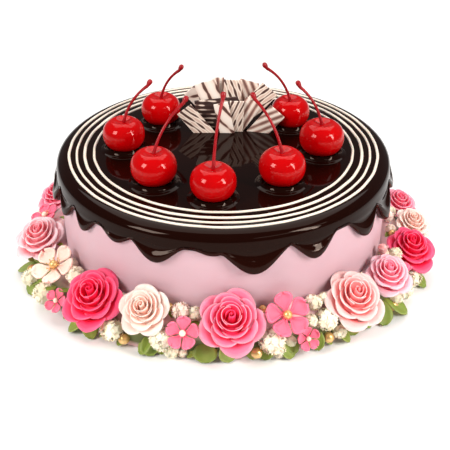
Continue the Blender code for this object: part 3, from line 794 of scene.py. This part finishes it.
def make_glaze(glaze):
    """Flat top, rolled shoulder and runs with a rounded bead along their lower edge."""
    runs = glaze_runs()
    lengths = {}

    def run(angle):
        if angle not in lengths:
            lengths[angle] = run_length(angle, runs)
        return lengths[angle]

    rows = [level_row(2.0 * MM, TOP_HEIGHT, GLAZE_SIDES), level_row(60.0 * MM, TOP_HEIGHT, GLAZE_SIDES)]
    rows.append(level_row(GLAZE_FLAT, TOP_HEIGHT, GLAZE_SIDES))
    for r, drop in SHOULDER:
        rows.append(level_row(r * MM, TOP_HEIGHT - drop * MM, GLAZE_SIDES))
    # The painted glow of light through the glaze for each row: none on top, rising down the runs, strongest
    # under the bead
    lips = [0.0] * len(rows)
    start = TOP_HEIGHT - 8.2 * MM

    def swell(angle, share):
        """How far the glaze stands out: it gathers in the lower half of each run."""
        s = min(1.0, max(0.0, (share - 0.25) / 0.55))
        return GLAZE_OUTER + 0.26 * run(angle) * s * s * (3.0 - 2.0 * s)

    def fall(share):
        """A row that far down from the shoulder to just above the bead."""
        return round_row(
            lambda a: swell(a, share),
            lambda a: start + (HEM_HEIGHT - run(a) + 2.2 * MM - start) * share,
            GLAZE_SIDES,
        )

    for i in range(11):
        rows.append(fall(i / 10))
        lips.append(0.03 * i)
    for inset, rise, lip in BEAD:
        rows.append(
            round_row(
                lambda a, d=inset: swell(a, 1.0) + d * (1.0 * MM + 0.1 * run(a)),
                lambda a, z=rise: HEM_HEIGHT - run(a) + z * MM,
                GLAZE_SIDES,
            )
        )
        lips.append(lip)
    rows.append(round_row(lambda a: 87.9 * MM, lambda a: HEM_HEIGHT - run(a) + 0.4 * MM, GLAZE_SIDES))
    lips.append(1.0)
    cap = drawn_up("cap", rows)
    # Close the small hole in the middle of the top
    take(cap)
    bpy.ops.object.mode_set(mode="EDIT")
    bpy.ops.mesh.select_all(action="DESELECT")
    form = bmesh.from_edit_mesh(cap.data)
    for edge in form.edges:
        edge.select = all(v.co.xy.length < 3 * MM for v in edge.verts)
    bmesh.update_edit_mesh(cap.data)
    bpy.ops.mesh.edge_face_add()
    bpy.ops.mesh.select_all(action="SELECT")
    bpy.ops.mesh.normals_make_consistent(inside=False)
    bpy.ops.object.mode_set(mode="OBJECT")
    values = [0.0] * len(cap.data.vertices)
    for i in range(len(rows)):
        for k in range(GLAZE_SIDES):
            values[i * GLAZE_SIDES + k] = lips[i]
    painted(cap, "lip", values)
    collars = [collar(row[1], row[2], row[3]) for row in CHERRIES]
    piece = joined("chocolate_glaze", [cap, *collars])
    dressed(piece, glaze)
    settled(piece, "glaze", "glaze")


def make_piped_lines(icing):
    """Four torus primitives, flattened and half sunk in the glaze, each wandering slowly in and out."""
    draw = random.Random(3)
    rings = []
    for radius, width in PIPED_LINES:
        drop_selection()
        bpy.ops.mesh.primitive_torus_add(
            major_radius=radius * MM,
            minor_radius=0.345 * width * MM,
            major_segments=288,
            minor_segments=12,
            location=(0, 0, 0),
        )
        ring = added("line")
        bpy.ops.object.mode_set(mode="EDIT")
        bpy.ops.mesh.select_all(action="SELECT")
        squash = LINE_HEIGHT / (0.345 * width * MM)
        bpy.ops.transform.resize(value=(1, 1, squash), center_override=(0, 0, 0))
        bpy.ops.transform.translate(value=(0, 0, TOP_HEIGHT))
        bpy.ops.object.mode_set(mode="OBJECT")
        phases = [draw.uniform(0, 6.28) for _ in range(4)]
        for vert in ring.data.vertices:
            turn = math.atan2(vert.co.y, vert.co.x)
            wander = sum(math.sin(k * turn + p) for k, p in zip((7, 13, 22, 31), phases)) * 0.05 * MM
            out = vert.co.xy.normalized()
            vert.co.x += out.x * wander
            vert.co.y += out.y * wander
        bpy.ops.object.shade_smooth()
        rings.append(ring)
    piece = joined("piped_lines", rings)
    dressed(piece, icing)
    settled(piece, "cream")


# Cherries


def cherry_fruit():
    """A UV sphere, one wide: flattened, pressed flat below and dimpled round the stem by a soft pull."""
    drop_selection()
    bpy.ops.mesh.primitive_uv_sphere_add(segments=64, ring_count=40, radius=1.0)
    fruit = added("fruit")
    bpy.ops.object.mode_set(mode="EDIT")
    bpy.ops.mesh.select_all(action="SELECT")
    bpy.ops.transform.resize(value=(1, 1, 0.93), center_override=(0, 0, 0))
    for level, pull, reach in ((1.0, -0.24, 0.48), (-1.0, 0.10, 0.9)):
        bpy.ops.mesh.select_all(action="DESELECT")
        form = bmesh.from_edit_mesh(fruit.data)
        for vert in form.verts:
            vert.select = vert.co.z * level > 0.925
        form.select_flush_mode()
        bmesh.update_edit_mesh(fruit.data)
        bpy.ops.transform.translate(
            value=(0, 0, pull),
            use_proportional_edit=True,
            proportional_edit_falloff="SMOOTH",
            proportional_size=reach,
        )
    bpy.ops.object.mode_set(mode="OBJECT")
    bpy.ops.object.shade_smooth()
    for vert in fruit.data.vertices:
        # Broad shoulders: the upper half is pushed out a little towards a square section
        across = vert.co.xy.length
        fuller = 1.0 / max(0.2, (across**2.4 + abs(vert.co.z) ** 2.4) ** (1 / 2.4))
        gain = (0.75 if vert.co.z > 0 else 0.25) * (min(fuller, 1.15) - 1.0)
        vert.co.x *= 1.0 + gain
        vert.co.y *= 1.0 + gain
    # Painted shade for the material: none above the middle, rising towards the bottom
    painted(fruit, "low", [max(0.0, min(1.0, -0.2 - v.co.z)) for v in fruit.data.vertices])
    return fruit


def tube_row(centre, along, radius, sides):
    """A round row of points square to the tube's direction."""
    turn = along.to_track_quat("Z", "Y").to_matrix()
    row = []
    for i in range(sides):
        a = 2.0 * math.pi * i / sides
        row.append(centre + turn @ Vector((radius * math.sin(a), -radius * math.cos(a), 0.0)))
    return row


def make_stem(start, tip):
    """A bent stem drawn up ring by ring, with a flare at its foot and a knob at its tip."""
    knob = 4.0 * MM * (tip - start).normalized()
    end = tip - knob
    bend = start.lerp(end, 0.24)
    bend.z = start.z + 0.66 * (end.z - start.z)
    rows = []
    count = 18
    for i in range(count + 1):
        t = i / count
        point = start * (1 - t) ** 2 + bend * (2 * t * (1 - t)) + end * t**2
        along = (bend - start) * (1 - t) + (end - bend) * t
        radius = (0.70 + 0.35 * (1 - t) ** 6 + 0.20 * t**8) * MM
        rows.append(tube_row(point, along, radius, 12))
    for share, radius in ((0.2, 1.02), (0.4, 1.28), (0.62, 1.40), (0.82, 1.24), (0.95, 0.85), (1.0, 0.4)):
        rows.append(tube_row(end + share * knob, knob, radius * MM, 12))
    return drawn_up("stem", rows, cap_start=True, cap_end=True)


def make_cherries(skin, bark):
    """The cherries, all from one fruit, each with its own bent stem."""
    fruit = cherry_fruit()
    low = min(v.co.z for v in fruit.data.vertices)
    high = max(v.co.z for v in fruit.data.vertices)
    for name, angle, distance, diameter, tip in CHERRIES:
        half = 0.5 * diameter * MM
        height = 0.75 * diameter * MM
        foot = polar(angle, distance * MM, TOP_HEIGHT + 0.05 * MM)
        rise = height / (high - low)
        place = Matrix.Translation(foot) @ Matrix.Rotation(math.radians(angle * 3), 4, "Z")
        place @= Matrix.Diagonal((half, half, rise, 1.0)) @ Matrix.Translation((0, 0, -low))
        body = copy_of(fruit, place)
        dressed(body, skin, bark)
        start = foot + Vector((0, 0, 0.84 * height))
        top = foot + Vector((0, 0, 0.97 * height)) + Vector(tip) * MM
        stem = make_stem(start, top)
        dressed(stem, bark)
        piece = joined(f"glace_cherry_{name}", [body, stem])
        settled(piece, "cherry", f"cherry_{name}")
    thrown_away([fruit])


# Chocolate slabs


def make_slab(row, kinds):
    """A cube primitive at its size, edges bevelled, leant in the fan and cut level on the glaze."""
    name, x, y, top, lean, turn, width, kind, slant, shift = row
    drop_selection()
    bpy.ops.mesh.primitive_cube_add(size=1.0, location=(0, 0, 0))
    slab = added(f"chocolate_slab_{name}")
    bpy.ops.object.mode_set(mode="EDIT")
    bpy.ops.mesh.select_all(action="SELECT")
    size = (width * MM, SLAB_THICKNESS, SLAB_LENGTH)
    bpy.ops.transform.resize(value=size, center_override=(0, 0, 0))
    bpy.ops.mesh.bevel(offset=0.18 * MM, segments=2, affect="EDGES")
    bpy.ops.transform.translate(value=(0, 0, -0.5 * SLAB_LENGTH))
    bpy.ops.object.mode_set(mode="OBJECT")
    # The strokes follow the slab's own coordinates in millimetres, turned by their slant
    tilt = Matrix.Rotation(math.radians(slant), 4, "Y")
    seed = sum(map(ord, name)) % 17
    place = Matrix.Translation((x * MM, y * MM, TOP_HEIGHT + top * MM))
    turned = Matrix.Rotation(math.radians(turn), 4, "Z") @ Matrix.Rotation(math.radians(lean), 4, "Y")
    slab.data.transform(place @ turned)
    take(slab)
    bpy.ops.object.mode_set(mode="EDIT")
    bpy.ops.mesh.select_all(action="SELECT")
    level = TOP_HEIGHT + 0.05 * MM
    bpy.ops.mesh.bisect(plane_co=(0, 0, level), plane_no=(0, 0, 1), clear_inner=True, use_fill=True)
    bpy.ops.object.mode_set(mode="OBJECT")
    bpy.ops.object.shade_smooth_by_angle(angle=math.radians(35))
    back = (place @ turned).inverted()
    layer = slab.data.attributes.new("slab", "FLOAT_VECTOR", "POINT")
    for i, vert in enumerate(slab.data.vertices):
        spot = tilt @ ((back @ vert.co) / MM)
        layer.data[i].vector = (spot.x + shift, spot.y + seed, spot.z + 3 * seed)
    dressed(slab, kinds[kind])
    settled(slab, "shard", f"shard_{name}")


# Sugar flowers


def rose_petal(tier, index, draw):
    """One petal of a tier, on a rose one unit in half width: it rises from its base to a rolled rim."""
    count, base, rim, low, high, span, turn, roll, upright = tier
    centre = math.radians(turn + 360.0 * index / count + draw.uniform(-5, 5))
    lift = draw.uniform(-0.02, 0.02)
    phase = draw.uniform(0, 6.28)
    size = rim * draw.uniform(0.97, 1.03)
    half_span = math.radians(span)
    bow_r = base + (0.10 + 0.75 * upright) * (size - base)
    bow_z = low + 0.92 * (high - low)
    lobe = 0.20 + 0.16 * rim

    def place(u, v):
        # Rounded outline with a slight point in the middle of the rim
        reach = v * (1.0 - lobe * abs(u) ** 2.4 + 0.02 * max(0.0, 1.0 - 4.0 * abs(u)))
        r = base * (1 - reach) ** 2 + bow_r * 2 * reach * (1 - reach) + size * reach**2
        z = low * (1 - reach) ** 2 + bow_z * 2 * reach * (1 - reach) + high * reach**2
        over = max(0.0, (reach - 0.70) / 0.30)
        z -= roll * over**2 * (1.2 - 0.5 * u)
        # One side tucks under its neighbour and the other lies over it
        r += 0.13 * size * u * reach
        z += (lift + 0.065 * u * size) * reach
        z += 0.022 * size * math.sin(3.4 * u + phase) * reach**3
        wide = half_span * u * (0.70 + 0.30 * math.sin(0.5 * math.pi * min(1.0, 0.1 + reach)))
        return Vector((r * math.sin(centre + wide), -r * math.cos(centre + wide), z))

    petal, spread = bent_sheet("petal", 14, 9, place)
    # Painted shade: darker at the petal's foot and on the inner tiers, paler towards the rim
    warmth = min(1.0, 0.20 + 1.0 * (rim - 0.2) / 0.7)
    painted(petal, "tone_and_fold_shade", [max(0.0, min(1.0, warmth * (0.10 + 0.90 * v**1.6))) for u, v in spread])
    # Painted highlight towards the rim
    painted(petal, "rim", [v for u, v in spread])
    return thickened(petal, 0.020)


def rose_heart():
    """The closed heart: one strip of paste wound in a spiral."""

    def place(u, v):
        wound = 0.5 + 0.5 * u
        turn = math.radians(560.0 * wound)
        r = 0.02 + 0.17 * wound - 0.02 * v
        z = 0.10 + v * (0.38 + 0.03 * math.sin(1.3 * turn))
        return Vector((r * math.sin(turn), -r * math.cos(turn), z))

    heart, spread = bent_sheet("heart", 30, 5, place)
    # Painted shade low in the heart and a painted highlight towards its top edge
    painted(heart, "tone_and_fold_shade", [0.10 * v for u, v in spread])
    painted(heart, "rim", [0.6 * v for u, v in spread])
    return thickened(heart, 0.022)


def rose_form(tiers, seed, core=HIP, heart=True):
    """A whole rose one unit in half width, facing +Z, its petals seated round a closed core."""
    draw = random.Random(seed)
    petals = [rose_heart()] if heart else []
    for tier in tiers:
        petals += [rose_petal(tier, i, draw) for i in range(tier[0])]
    rows = [level_row(share, rise, 20) for share, rise in core]
    body = drawn_up("core", rows, cap_start=True, cap_end=True)
    # A rose's hip is painted deep as shade in the folds; a bud's teardrop is half way
    painted(body, "tone_and_fold_shade", [0.05 if heart else 0.6] * len(body.data.vertices))
    painted(body, "rim", [0.0] * len(body.data.vertices))
    return joined("rose", [*petals, body])


def seat(angle, radius, height, diameter, lift=0.0, turned=0.28):
    """Where a flower sits on the wreath: its own Z points out and up, 45 degrees and the lift above level.

    One at the side is turned towards the front by that share of its angle and faces further up."""
    aside = min(1.0, max(0.0, (abs(angle) - 24.0) / 30.0)) if abs(angle) < 110.0 else 0.0
    face = math.radians(45 + lift + 20 * aside)
    out = polar(angle * (1.0 - turned * aside), 1.0, 0.0)
    normal = out * math.cos(face) + Vector((0, 0, math.sin(face)))
    side = Vector((0, 0, 1)).cross(out).normalized()
    up = normal.cross(side)
    half = 0.5 * diameter * MM
    axes = Matrix((side * half, up * half, normal * half)).transposed().to_4x4()
    middle = polar(angle, radius * MM, height * MM) + 0.10 * aside * half * normal
    return Matrix.Translation(middle) @ axes


def make_roses(pastes):
    """The roses from two forms in turn, and the buds."""
    forms = [rose_form(TIERS, 11), rose_form(TIERS, 23)]
    lean = Matrix.Identity(4)
    lean[1][2] = ROSE_LEAN
    for i, (name, angle, radius, height, diameter, colour, spin) in enumerate(ROSES):
        place = seat(angle, radius, height, diameter, 0.0, ROSE_TURN) @ lean
        place @= Matrix.Rotation(math.radians(spin), 4, "Z")
        rose = copy_of(forms[i % 2], place, f"sugar_rose_{name}")
        dressed(rose, pastes[colour])
        settled(rose, PASTE_SLOTS.get(colour, colour), f"rose_{name}")
    bud = rose_form((BUD_TIER,), 5, TEARDROP, heart=False)
    for name, angle, radius, height, diameter, colour, lift in BUDS:
        place = seat(angle, radius, height, diameter * 1.25, lift)
        piece = copy_of(bud, place, f"sugar_bud_{name}")
        dressed(piece, pastes[colour])
        settled(piece, colour, f"bud_{name}")
    thrown_away([*forms, bud])


def blossom_form():
    """Five cupped petals, each a grid drawn in at its foot, thickened and turned round the middle."""

    def place(u, v):
        if v < 0.7:
            wide = 0.06 + 0.37 * math.sin(0.5 * math.pi * v / 0.7) ** 3
        else:
            wide = 0.43 * math.sqrt(max(0.02, 1.0 - ((v - 0.7) / 0.3) ** 2))
        x = u * wide
        y = 0.08 + (0.92 - 0.05 * max(0.0, 1.0 - 5.0 * abs(u))) * v
        z = 0.02 + 0.06 * v + 0.17 * abs(u) ** 3 * (0.3 + 0.7 * v) + 0.11 * v**6
        return Vector((x, y, z))

    petal, spread = bent_sheet("petal", 12, 11, place)
    # Painted shade at the petal's foot and a painted highlight towards its rim and sides
    painted(petal, "tone_and_fold_shade", [0.55 * v for u, v in spread])
    painted(petal, "rim", [max(v, abs(u)) ** 2 * 0.8 for u, v in spread])
    thickened(petal, 0.09)
    petals = [copy_of(petal, Matrix.Rotation(math.radians(72 * i + 2), 4, "Z")) for i in range(5)]
    thrown_away([petal])
    rows = [level_row(s, z, 20) for s, z in ((0.12, -0.45), (0.20, -0.2), (0.26, 0.0), (0.2, 0.07))]
    calyx = drawn_up("calyx", rows, cap_start=True, cap_end=True)
    # The calyx is painted deep as shade
    painted(calyx, "tone_and_fold_shade", [0.05] * len(calyx.data.vertices))
    painted(calyx, "rim", [0.0] * len(calyx.data.vertices))
    return joined("blossom", [*petals, calyx])


def pearl_form():
    """A UV sphere, a touch flatter than round, with a small flat where it dried on its tray."""
    drop_selection()
    bpy.ops.mesh.primitive_uv_sphere_add(segments=20, ring_count=12, radius=1.0)
    pearl = added("pearl")
    bpy.ops.object.mode_set(mode="EDIT")
    bpy.ops.mesh.select_all(action="SELECT")
    bpy.ops.transform.resize(value=(1, 1, 0.97), center_override=(0, 0, 0))
    bpy.ops.mesh.bisect(plane_co=(0, 0, -0.92), plane_no=(0, 0, 1), clear_inner=True, use_fill=True)
    bpy.ops.object.mode_set(mode="OBJECT")
    bpy.ops.object.shade_smooth()
    return pearl


def stamens_form():
    """Nine short stamens with swollen tips, leaning out round the pearl."""
    draw = random.Random(9)
    made = []
    for i in range(9):
        a = math.radians(40 * i + draw.uniform(-8, 8))
        foot = Vector((0.14 * math.sin(a), 0.14 * math.cos(a), 0.05))
        tip = Vector((0.36 * math.sin(a), 0.36 * math.cos(a), draw.uniform(0.26, 0.34)))
        along = tip - foot
        rows = []
        for share, radius in ((0, 0.016), (0.75, 0.014), (0.85, 0.034), (0.95, 0.040), (1.0, 0.020)):
            rows.append(tube_row(foot + share * along, along, radius, 6))
        made.append(drawn_up("stamen", rows, cap_start=True, cap_end=True))
    return joined("stamens", made)


def make_blossoms(pastes, pearls):
    """The blossoms, each with a pearl in its middle and some with stamens."""
    form = blossom_form()
    pearl = pearl_form()
    stamens = stamens_form()
    for row in BLOSSOMS:
        name, angle, radius, height, diameter, colour, lift, centre, with_stamens = row
        place = seat(angle, radius, height, diameter, lift)
        petals = copy_of(form, place)
        dressed(petals, pastes[colour])
        bead = copy_of(pearl, place @ Matrix.Translation((0, 0, 0.20)) @ Matrix.Scale(0.21, 4))
        dressed(bead, pearls[centre])
        parts = [petals, bead]
        if with_stamens:
            parts.append(dressed(copy_of(stamens, place), pearls["gold"]))
        piece = joined(f"sugar_blossom_{name}", parts)
        slot = PASTE_SLOTS.get(colour, colour)
        settled(piece, slot, f"blossom_{name}")
    thrown_away([form, pearl, stamens])


# The rest of the wreath


def bed_foot(angle):
    """Radius of the bed's foot, which is wider at the sides."""
    return 98.5 * MM + 10.5 * MM * math.sin(math.radians(angle)) ** 2


def bed_top(angle):
    """Height of the bed, which is lower at the sides."""
    return 22.5 * MM - 5.5 * MM * math.sin(math.radians(angle)) ** 2


def make_bed(cream):
    """The bed, a ring of cream with rounded edges, drawn up round the cake's foot."""

    def foot_z(angle):
        return BED_SUM - bed_foot(angle)

    def top_r(angle):
        return BED_SUM - bed_top(angle)

    def slope(share):
        """Radius and height that far up the slope."""
        return (
            lambda a: bed_foot(a) + (top_r(a) - bed_foot(a)) * share,
            lambda a: foot_z(a) + (bed_top(a) - foot_z(a)) * share,
        )

    shapes = [
        (lambda a: BED_INNER, lambda a: 0.0),
        (lambda a: bed_foot(a) - 1.0 * MM, lambda a: 0.0),
        (bed_foot, lambda a: 0.8 * MM),
        (bed_foot, lambda a: max(1.0 * MM, foot_z(a) - 1.5 * MM)),
    ]
    for share in (0.12, 0.35, 0.6, 0.85):
        shapes.append(slope(share))
    shapes.append((lambda a: top_r(a) - 1.2 * MM, lambda a: bed_top(a) - 0.1 * MM))
    shapes.append((lambda a: BED_INNER, lambda a: bed_top(a) - 0.4 * MM))
    rows = [round_row(r, z, BED_SIDES) for r, z in shapes]
    rows.append(rows[0])
    bed = drawn_up("wreath_bed", rows)
    take(bed)
    bpy.ops.object.mode_set(mode="EDIT")
    bpy.ops.mesh.select_all(action="SELECT")
    bpy.ops.mesh.remove_doubles(threshold=0.01 * MM)
    bpy.ops.mesh.normals_make_consistent(inside=False)
    bpy.ops.object.mode_set(mode="OBJECT")
    dressed(bed, cream)
    settled(bed, "greenery", "greenery")


def leaf_form():
    """A rounded leaf one unit long and one half width to each side, folded along its midrib and waved."""

    def place(u, v):
        wide = math.sin(math.pi * (0.03 + 0.95 * v) ** 1.25) ** 0.55
        x = u * wide
        z = 0.08 * abs(x) ** 1.5 + 0.05 * math.sin(5.0 * v + 1.5 * u) - 0.16 * (v - 0.5) ** 2
        return Vector((x, v, z))

    leaf, spread = bent_sheet("leaf", 7, 8, place)
    midrib = [0.45 * max(0.0, 1 - 5 * abs(u)) for u, v in spread]
    rim = [0.4 * max(0.0, abs(u) - 0.8) / 0.2 for u, v in spread]
    painted(leaf, "vein", [a + b for a, b in zip(midrib, rim)])
    return thickened(leaf, 0.10)


def laid_leaf(leaf, base, tip, width, flip):
    """A copy of the leaf from base to tip, its face up."""
    along = tip - base
    across = Vector((0, 0, 1)).cross(along).normalized() * flip
    lift = along.cross(across).normalized()
    if lift.z < 0:
        lift = -lift
    half = 0.5 * width
    axes = Matrix((across * half, along, lift * half)).transposed().to_4x4()
    return copy_of(leaf, Matrix.Translation(base) @ axes)


def make_leaves(paste):
    """The leaves that show from the front, the same again at the back, and smaller ones in between."""
    leaf = leaf_form()
    draw = random.Random(21)
    made = []
    for angle, radius, swing, width in with_back(LEAVES):
        tip = polar(angle, radius * MM, 1.3 * MM)
        start = angle - swing
        base = polar(start, min(BED_SUM - 9 * MM, bed_foot(start)) - 1.0 * MM, 9 * MM)
        made.append(laid_leaf(leaf, base, tip, width * MM, draw.choice((-1, 1))))
    angle = -180.0
    while angle < 180.0:
        reach = bed_foot(angle)
        swing = draw.uniform(-4, 4)
        # Low down, tip outwards
        base = polar(angle + swing, reach - 2.5 * MM, 7 * MM)
        tip = polar(angle, reach + draw.uniform(1.5, 3.5) * MM, draw.uniform(1.2, 2.4) * MM)
        made.append(laid_leaf(leaf, base, tip, draw.uniform(5.5, 8) * MM, draw.choice((-1, 1))))
        # On the slope, anyhow
        low = draw.uniform(0.25, 0.75)
        radius = reach + (BED_SUM - bed_top(angle) - reach) * low
        height = (BED_SUM - reach) * (1 - low) + bed_top(angle) * low
        spot = polar(angle + 3, radius, height)
        out = polar(angle + 3, 1.0, 0.0)
        slide = draw.uniform(-4, 4) * MM
        shift = Vector((out.y, -out.x, 0)) * slide
        lift = (out + Vector((0, 0, 1))).normalized() * draw.uniform(1.5, 4.0) * MM
        made.append(laid_leaf(leaf, spot, spot + shift + lift + out * 4 * MM, draw.uniform(4, 6) * MM, 1))
        # Upwards against the cake
        base = polar(angle + 1.5, 94.5 * MM, bed_top(angle) - 3 * MM)
        aside = angle + 1.5 + draw.uniform(-3, 3)
        tip = polar(aside, 91.6 * MM, bed_top(angle) + draw.uniform(0.5, 2.5) * MM)
        made.append(laid_leaf(leaf, base, tip, draw.uniform(3.0, 4.5) * MM, draw.choice((-1, 1))))
        angle += draw.uniform(5.0, 7.0)
    thrown_away([leaf])
    piece = joined("wreath_leaves", made)
    dressed(piece, paste)
    settled(piece, "greenery")


def floret_form():
    """A filler flower: a ten-sided circle pulled in between five petals, with a smaller one above it."""
    layers = []
    for size, rise, turn in ((1.0, 0.0, 0), (0.62, 0.28, 36)):
        drop_selection()
        bpy.ops.mesh.primitive_circle_add(vertices=10, radius=size, fill_type="TRIFAN")
        layer = added("layer")
        bpy.ops.object.mode_set(mode="EDIT")
        bpy.ops.mesh.select_all(action="DESELECT")
        form = bmesh.from_edit_mesh(layer.data)
        for i, vert in enumerate(form.verts):
            vert.select = vert.co.length > 0.1 and i % 2 == 0
        form.select_flush_mode()
        bmesh.update_edit_mesh(layer.data)
        bpy.ops.transform.resize(value=(0.66, 0.66, 1), center_override=(0, 0, 0))
        bpy.ops.transform.translate(value=(0, 0, -0.14))
        bpy.ops.object.mode_set(mode="OBJECT")
        for vert in layer.data.vertices:
            if vert.co.xy.length < 0.05:
                vert.co.z = -0.16
            elif vert.co.z > -0.1:
                vert.co.z = 0.10
        throat_and_gap_shade = 0.3 if size < 1 else 0.0
        painted(layer, "throat_and_gap_shade", [throat_and_gap_shade if v.co.xy.length < 0.05 else 0.0 for v in layer.data.vertices])
        lifted = Matrix.Translation((0, 0, rise)) @ Matrix.Rotation(math.radians(turn), 4, "Z")
        layer.data.transform(lifted)
        layers.append(layer)
    floret = joined("floret", layers)
    bpy.ops.object.shade_smooth()
    return floret


def head_form(count, seed):
    """A head of filler flowers one unit in radius: florets over a small ball, each turned its own way."""
    draw = random.Random(seed)
    floret = floret_form()
    drop_selection()
    bpy.ops.mesh.primitive_ico_sphere_add(subdivisions=2, radius=0.88)
    ball = added("ball")
    for vert in ball.data.vertices:
        vert.co *= draw.uniform(0.94, 1.0)
    # Painted shade: the ball that shows between the florets takes some of the greenish throat colour
    painted(ball, "throat_and_gap_shade", [0.15] * len(ball.data.vertices))
    parts = [ball]
    golden = math.pi * (3.0 - math.sqrt(5.0))
    for i in range(count):
        z = 1.0 - 1.75 * (i + 0.5) / count
        r = math.sqrt(max(0.0, 1 - z * z))
        way = Vector((r * math.cos(golden * i), r * math.sin(golden * i), z))
        way = (way + Vector([draw.uniform(-0.12, 0.12) for _ in range(3)])).normalized()
        size = draw.uniform(0.44, 0.56)
        place = Matrix.Translation(way * draw.uniform(0.88, 0.96))
        place @= way.to_track_quat("Z", "Y").to_matrix().to_4x4()
        place @= Matrix.Rotation(draw.uniform(0, 6.28), 4, "Z") @ Matrix.Scale(size, 4)
        parts.append(copy_of(floret, place))
    thrown_away([floret])
    return joined("head", parts)


def make_heads(paste):
    """The heads of filler flowers from three forms in turn, each tinted pink by its own share."""
    forms = [head_form(30, 1), head_form(26, 2), head_form(24, 3)]
    draw = random.Random(31)
    made = []
    for i, (angle, radius, height, diameter, pink) in enumerate(with_back(HEADS)):
        facing = (polar(angle, 1.0, 1.0)).normalized().to_track_quat("Z", "Y").to_matrix().to_4x4()
        height = max(height, 0.70 * diameter)
        place = Matrix.Translation(polar(angle, radius * MM, height * MM)) @ facing
        place @= Matrix.Rotation(draw.uniform(0, 6.28), 4, "Z") @ Matrix.Scale(0.57 * diameter * MM, 4)
        head = copy_of(forms[i % 3], place)
        painted(head, "pink", [pink] * len(head.data.vertices))
        made.append(head)
    thrown_away(forms)
    piece = joined("filler_flowers", made)
    dressed(piece, paste)
    settled(piece, "greenery")


def make_pearls(gold):
    """The loose gold pearls between the flowers."""
    pearl = pearl_form()
    made = []
    for angle, radius, height, diameter in with_back(PEARLS):
        place = Matrix.Translation(polar(angle, radius * MM, height * MM))
        made.append(copy_of(pearl, place @ Matrix.Scale(0.5 * diameter * MM, 4)))
    thrown_away([pearl])
    piece = joined("sugar_pearls", made)
    dressed(piece, gold)
    settled(piece, "greenery")


# Stage


def make_stage():
    """A plain white table that runs out of view."""
    drop_selection()
    bpy.ops.mesh.primitive_plane_add(size=8.0, location=(0, 0, 0))
    floor = added("table_top")
    made, tree, shader = finish("matt_white_table", 0.9, 1.45)
    colour = blended(tree, grain(tree, 400 * MM), linear("#ecebea"), linear("#f1f0ef"))
    tree.links.new(colour, shader.inputs["Base Color"])
    dressed(floor, made)


def soft_light(name, place, aim, size, power, tint):
    """A rectangular light panel."""
    bpy.ops.object.light_add(type="AREA", location=place)
    lamp = bpy.context.object
    lamp.name = name
    lamp.data.shape = "RECTANGLE"
    lamp.data.size, lamp.data.size_y = size
    lamp.data.energy = power
    lamp.data.color = linear(tint)[:3]
    lamp.rotation_mode = "QUATERNION"
    lamp.rotation_quaternion = (Vector(aim) - Vector(place)).to_track_quat("-Z", "Y")


def light_the_cake():
    """Windows at both sides, a bright ceiling and a pale room."""
    for row in LIGHTS:
        soft_light(*row)
    world = bpy.data.worlds.new("pale_room")
    bpy.context.scene.world = world
    world.use_nodes = True
    room = world.node_tree.nodes["Background"]
    room.inputs["Color"].default_value = linear("#ffffff")
    room.inputs["Strength"].default_value = ROOM_STRENGTH


def set_camera():
    """The camera at the photograph's angle."""
    place = Vector(CAMERA_PLACE)
    aim = Vector(CAMERA_AIM)
    bpy.ops.object.camera_add(location=place)
    camera = bpy.context.object
    camera.name = "camera"
    camera.rotation_mode = "QUATERNION"
    camera.rotation_quaternion = (aim - place).to_track_quat("-Z", "Y")
    camera.data.sensor_width = FILM_WIDTH
    camera.data.lens = LENS
    camera.data.shift_x = LENS_SHIFT
    bpy.context.scene.camera = camera
    bpy.context.scene.view_settings.view_transform = "Standard"


def main():
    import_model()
    drop_selection()
    make_cake(buttercream())
    make_glaze(mirror_glaze())
    make_piped_lines(piped_icing())
    make_cherries(glace_cherry(), cherry_stem())
    kinds = {kind: marbled(*row) for kind, row in MARBLINGS.items()}
    for row in SLABS:
        make_slab(row, kinds)
    pastes = {colour: sugar_petal(*row) for colour, row in PASTES.items()}
    make_roses(pastes)
    pearls = {
        "gold": lustre_pearl("gold_lustre_pearl", "#cf9d50", "#f2cf90", 0.55, 0.25),
        "ivory": lustre_pearl("ivory_lustre_pearl", "#e9cdb2", "#fbeedd", 0.0, 0.25),
    }
    make_blossoms(pastes, pearls)
    make_bed(bed_cream())
    make_leaves(leaf_paste())
    make_heads(filler_flower())
    make_pearls(pearls["gold"])
    make_stage()
    light_the_cake()
    set_camera()
    bpy.context.view_layer.update()


main()
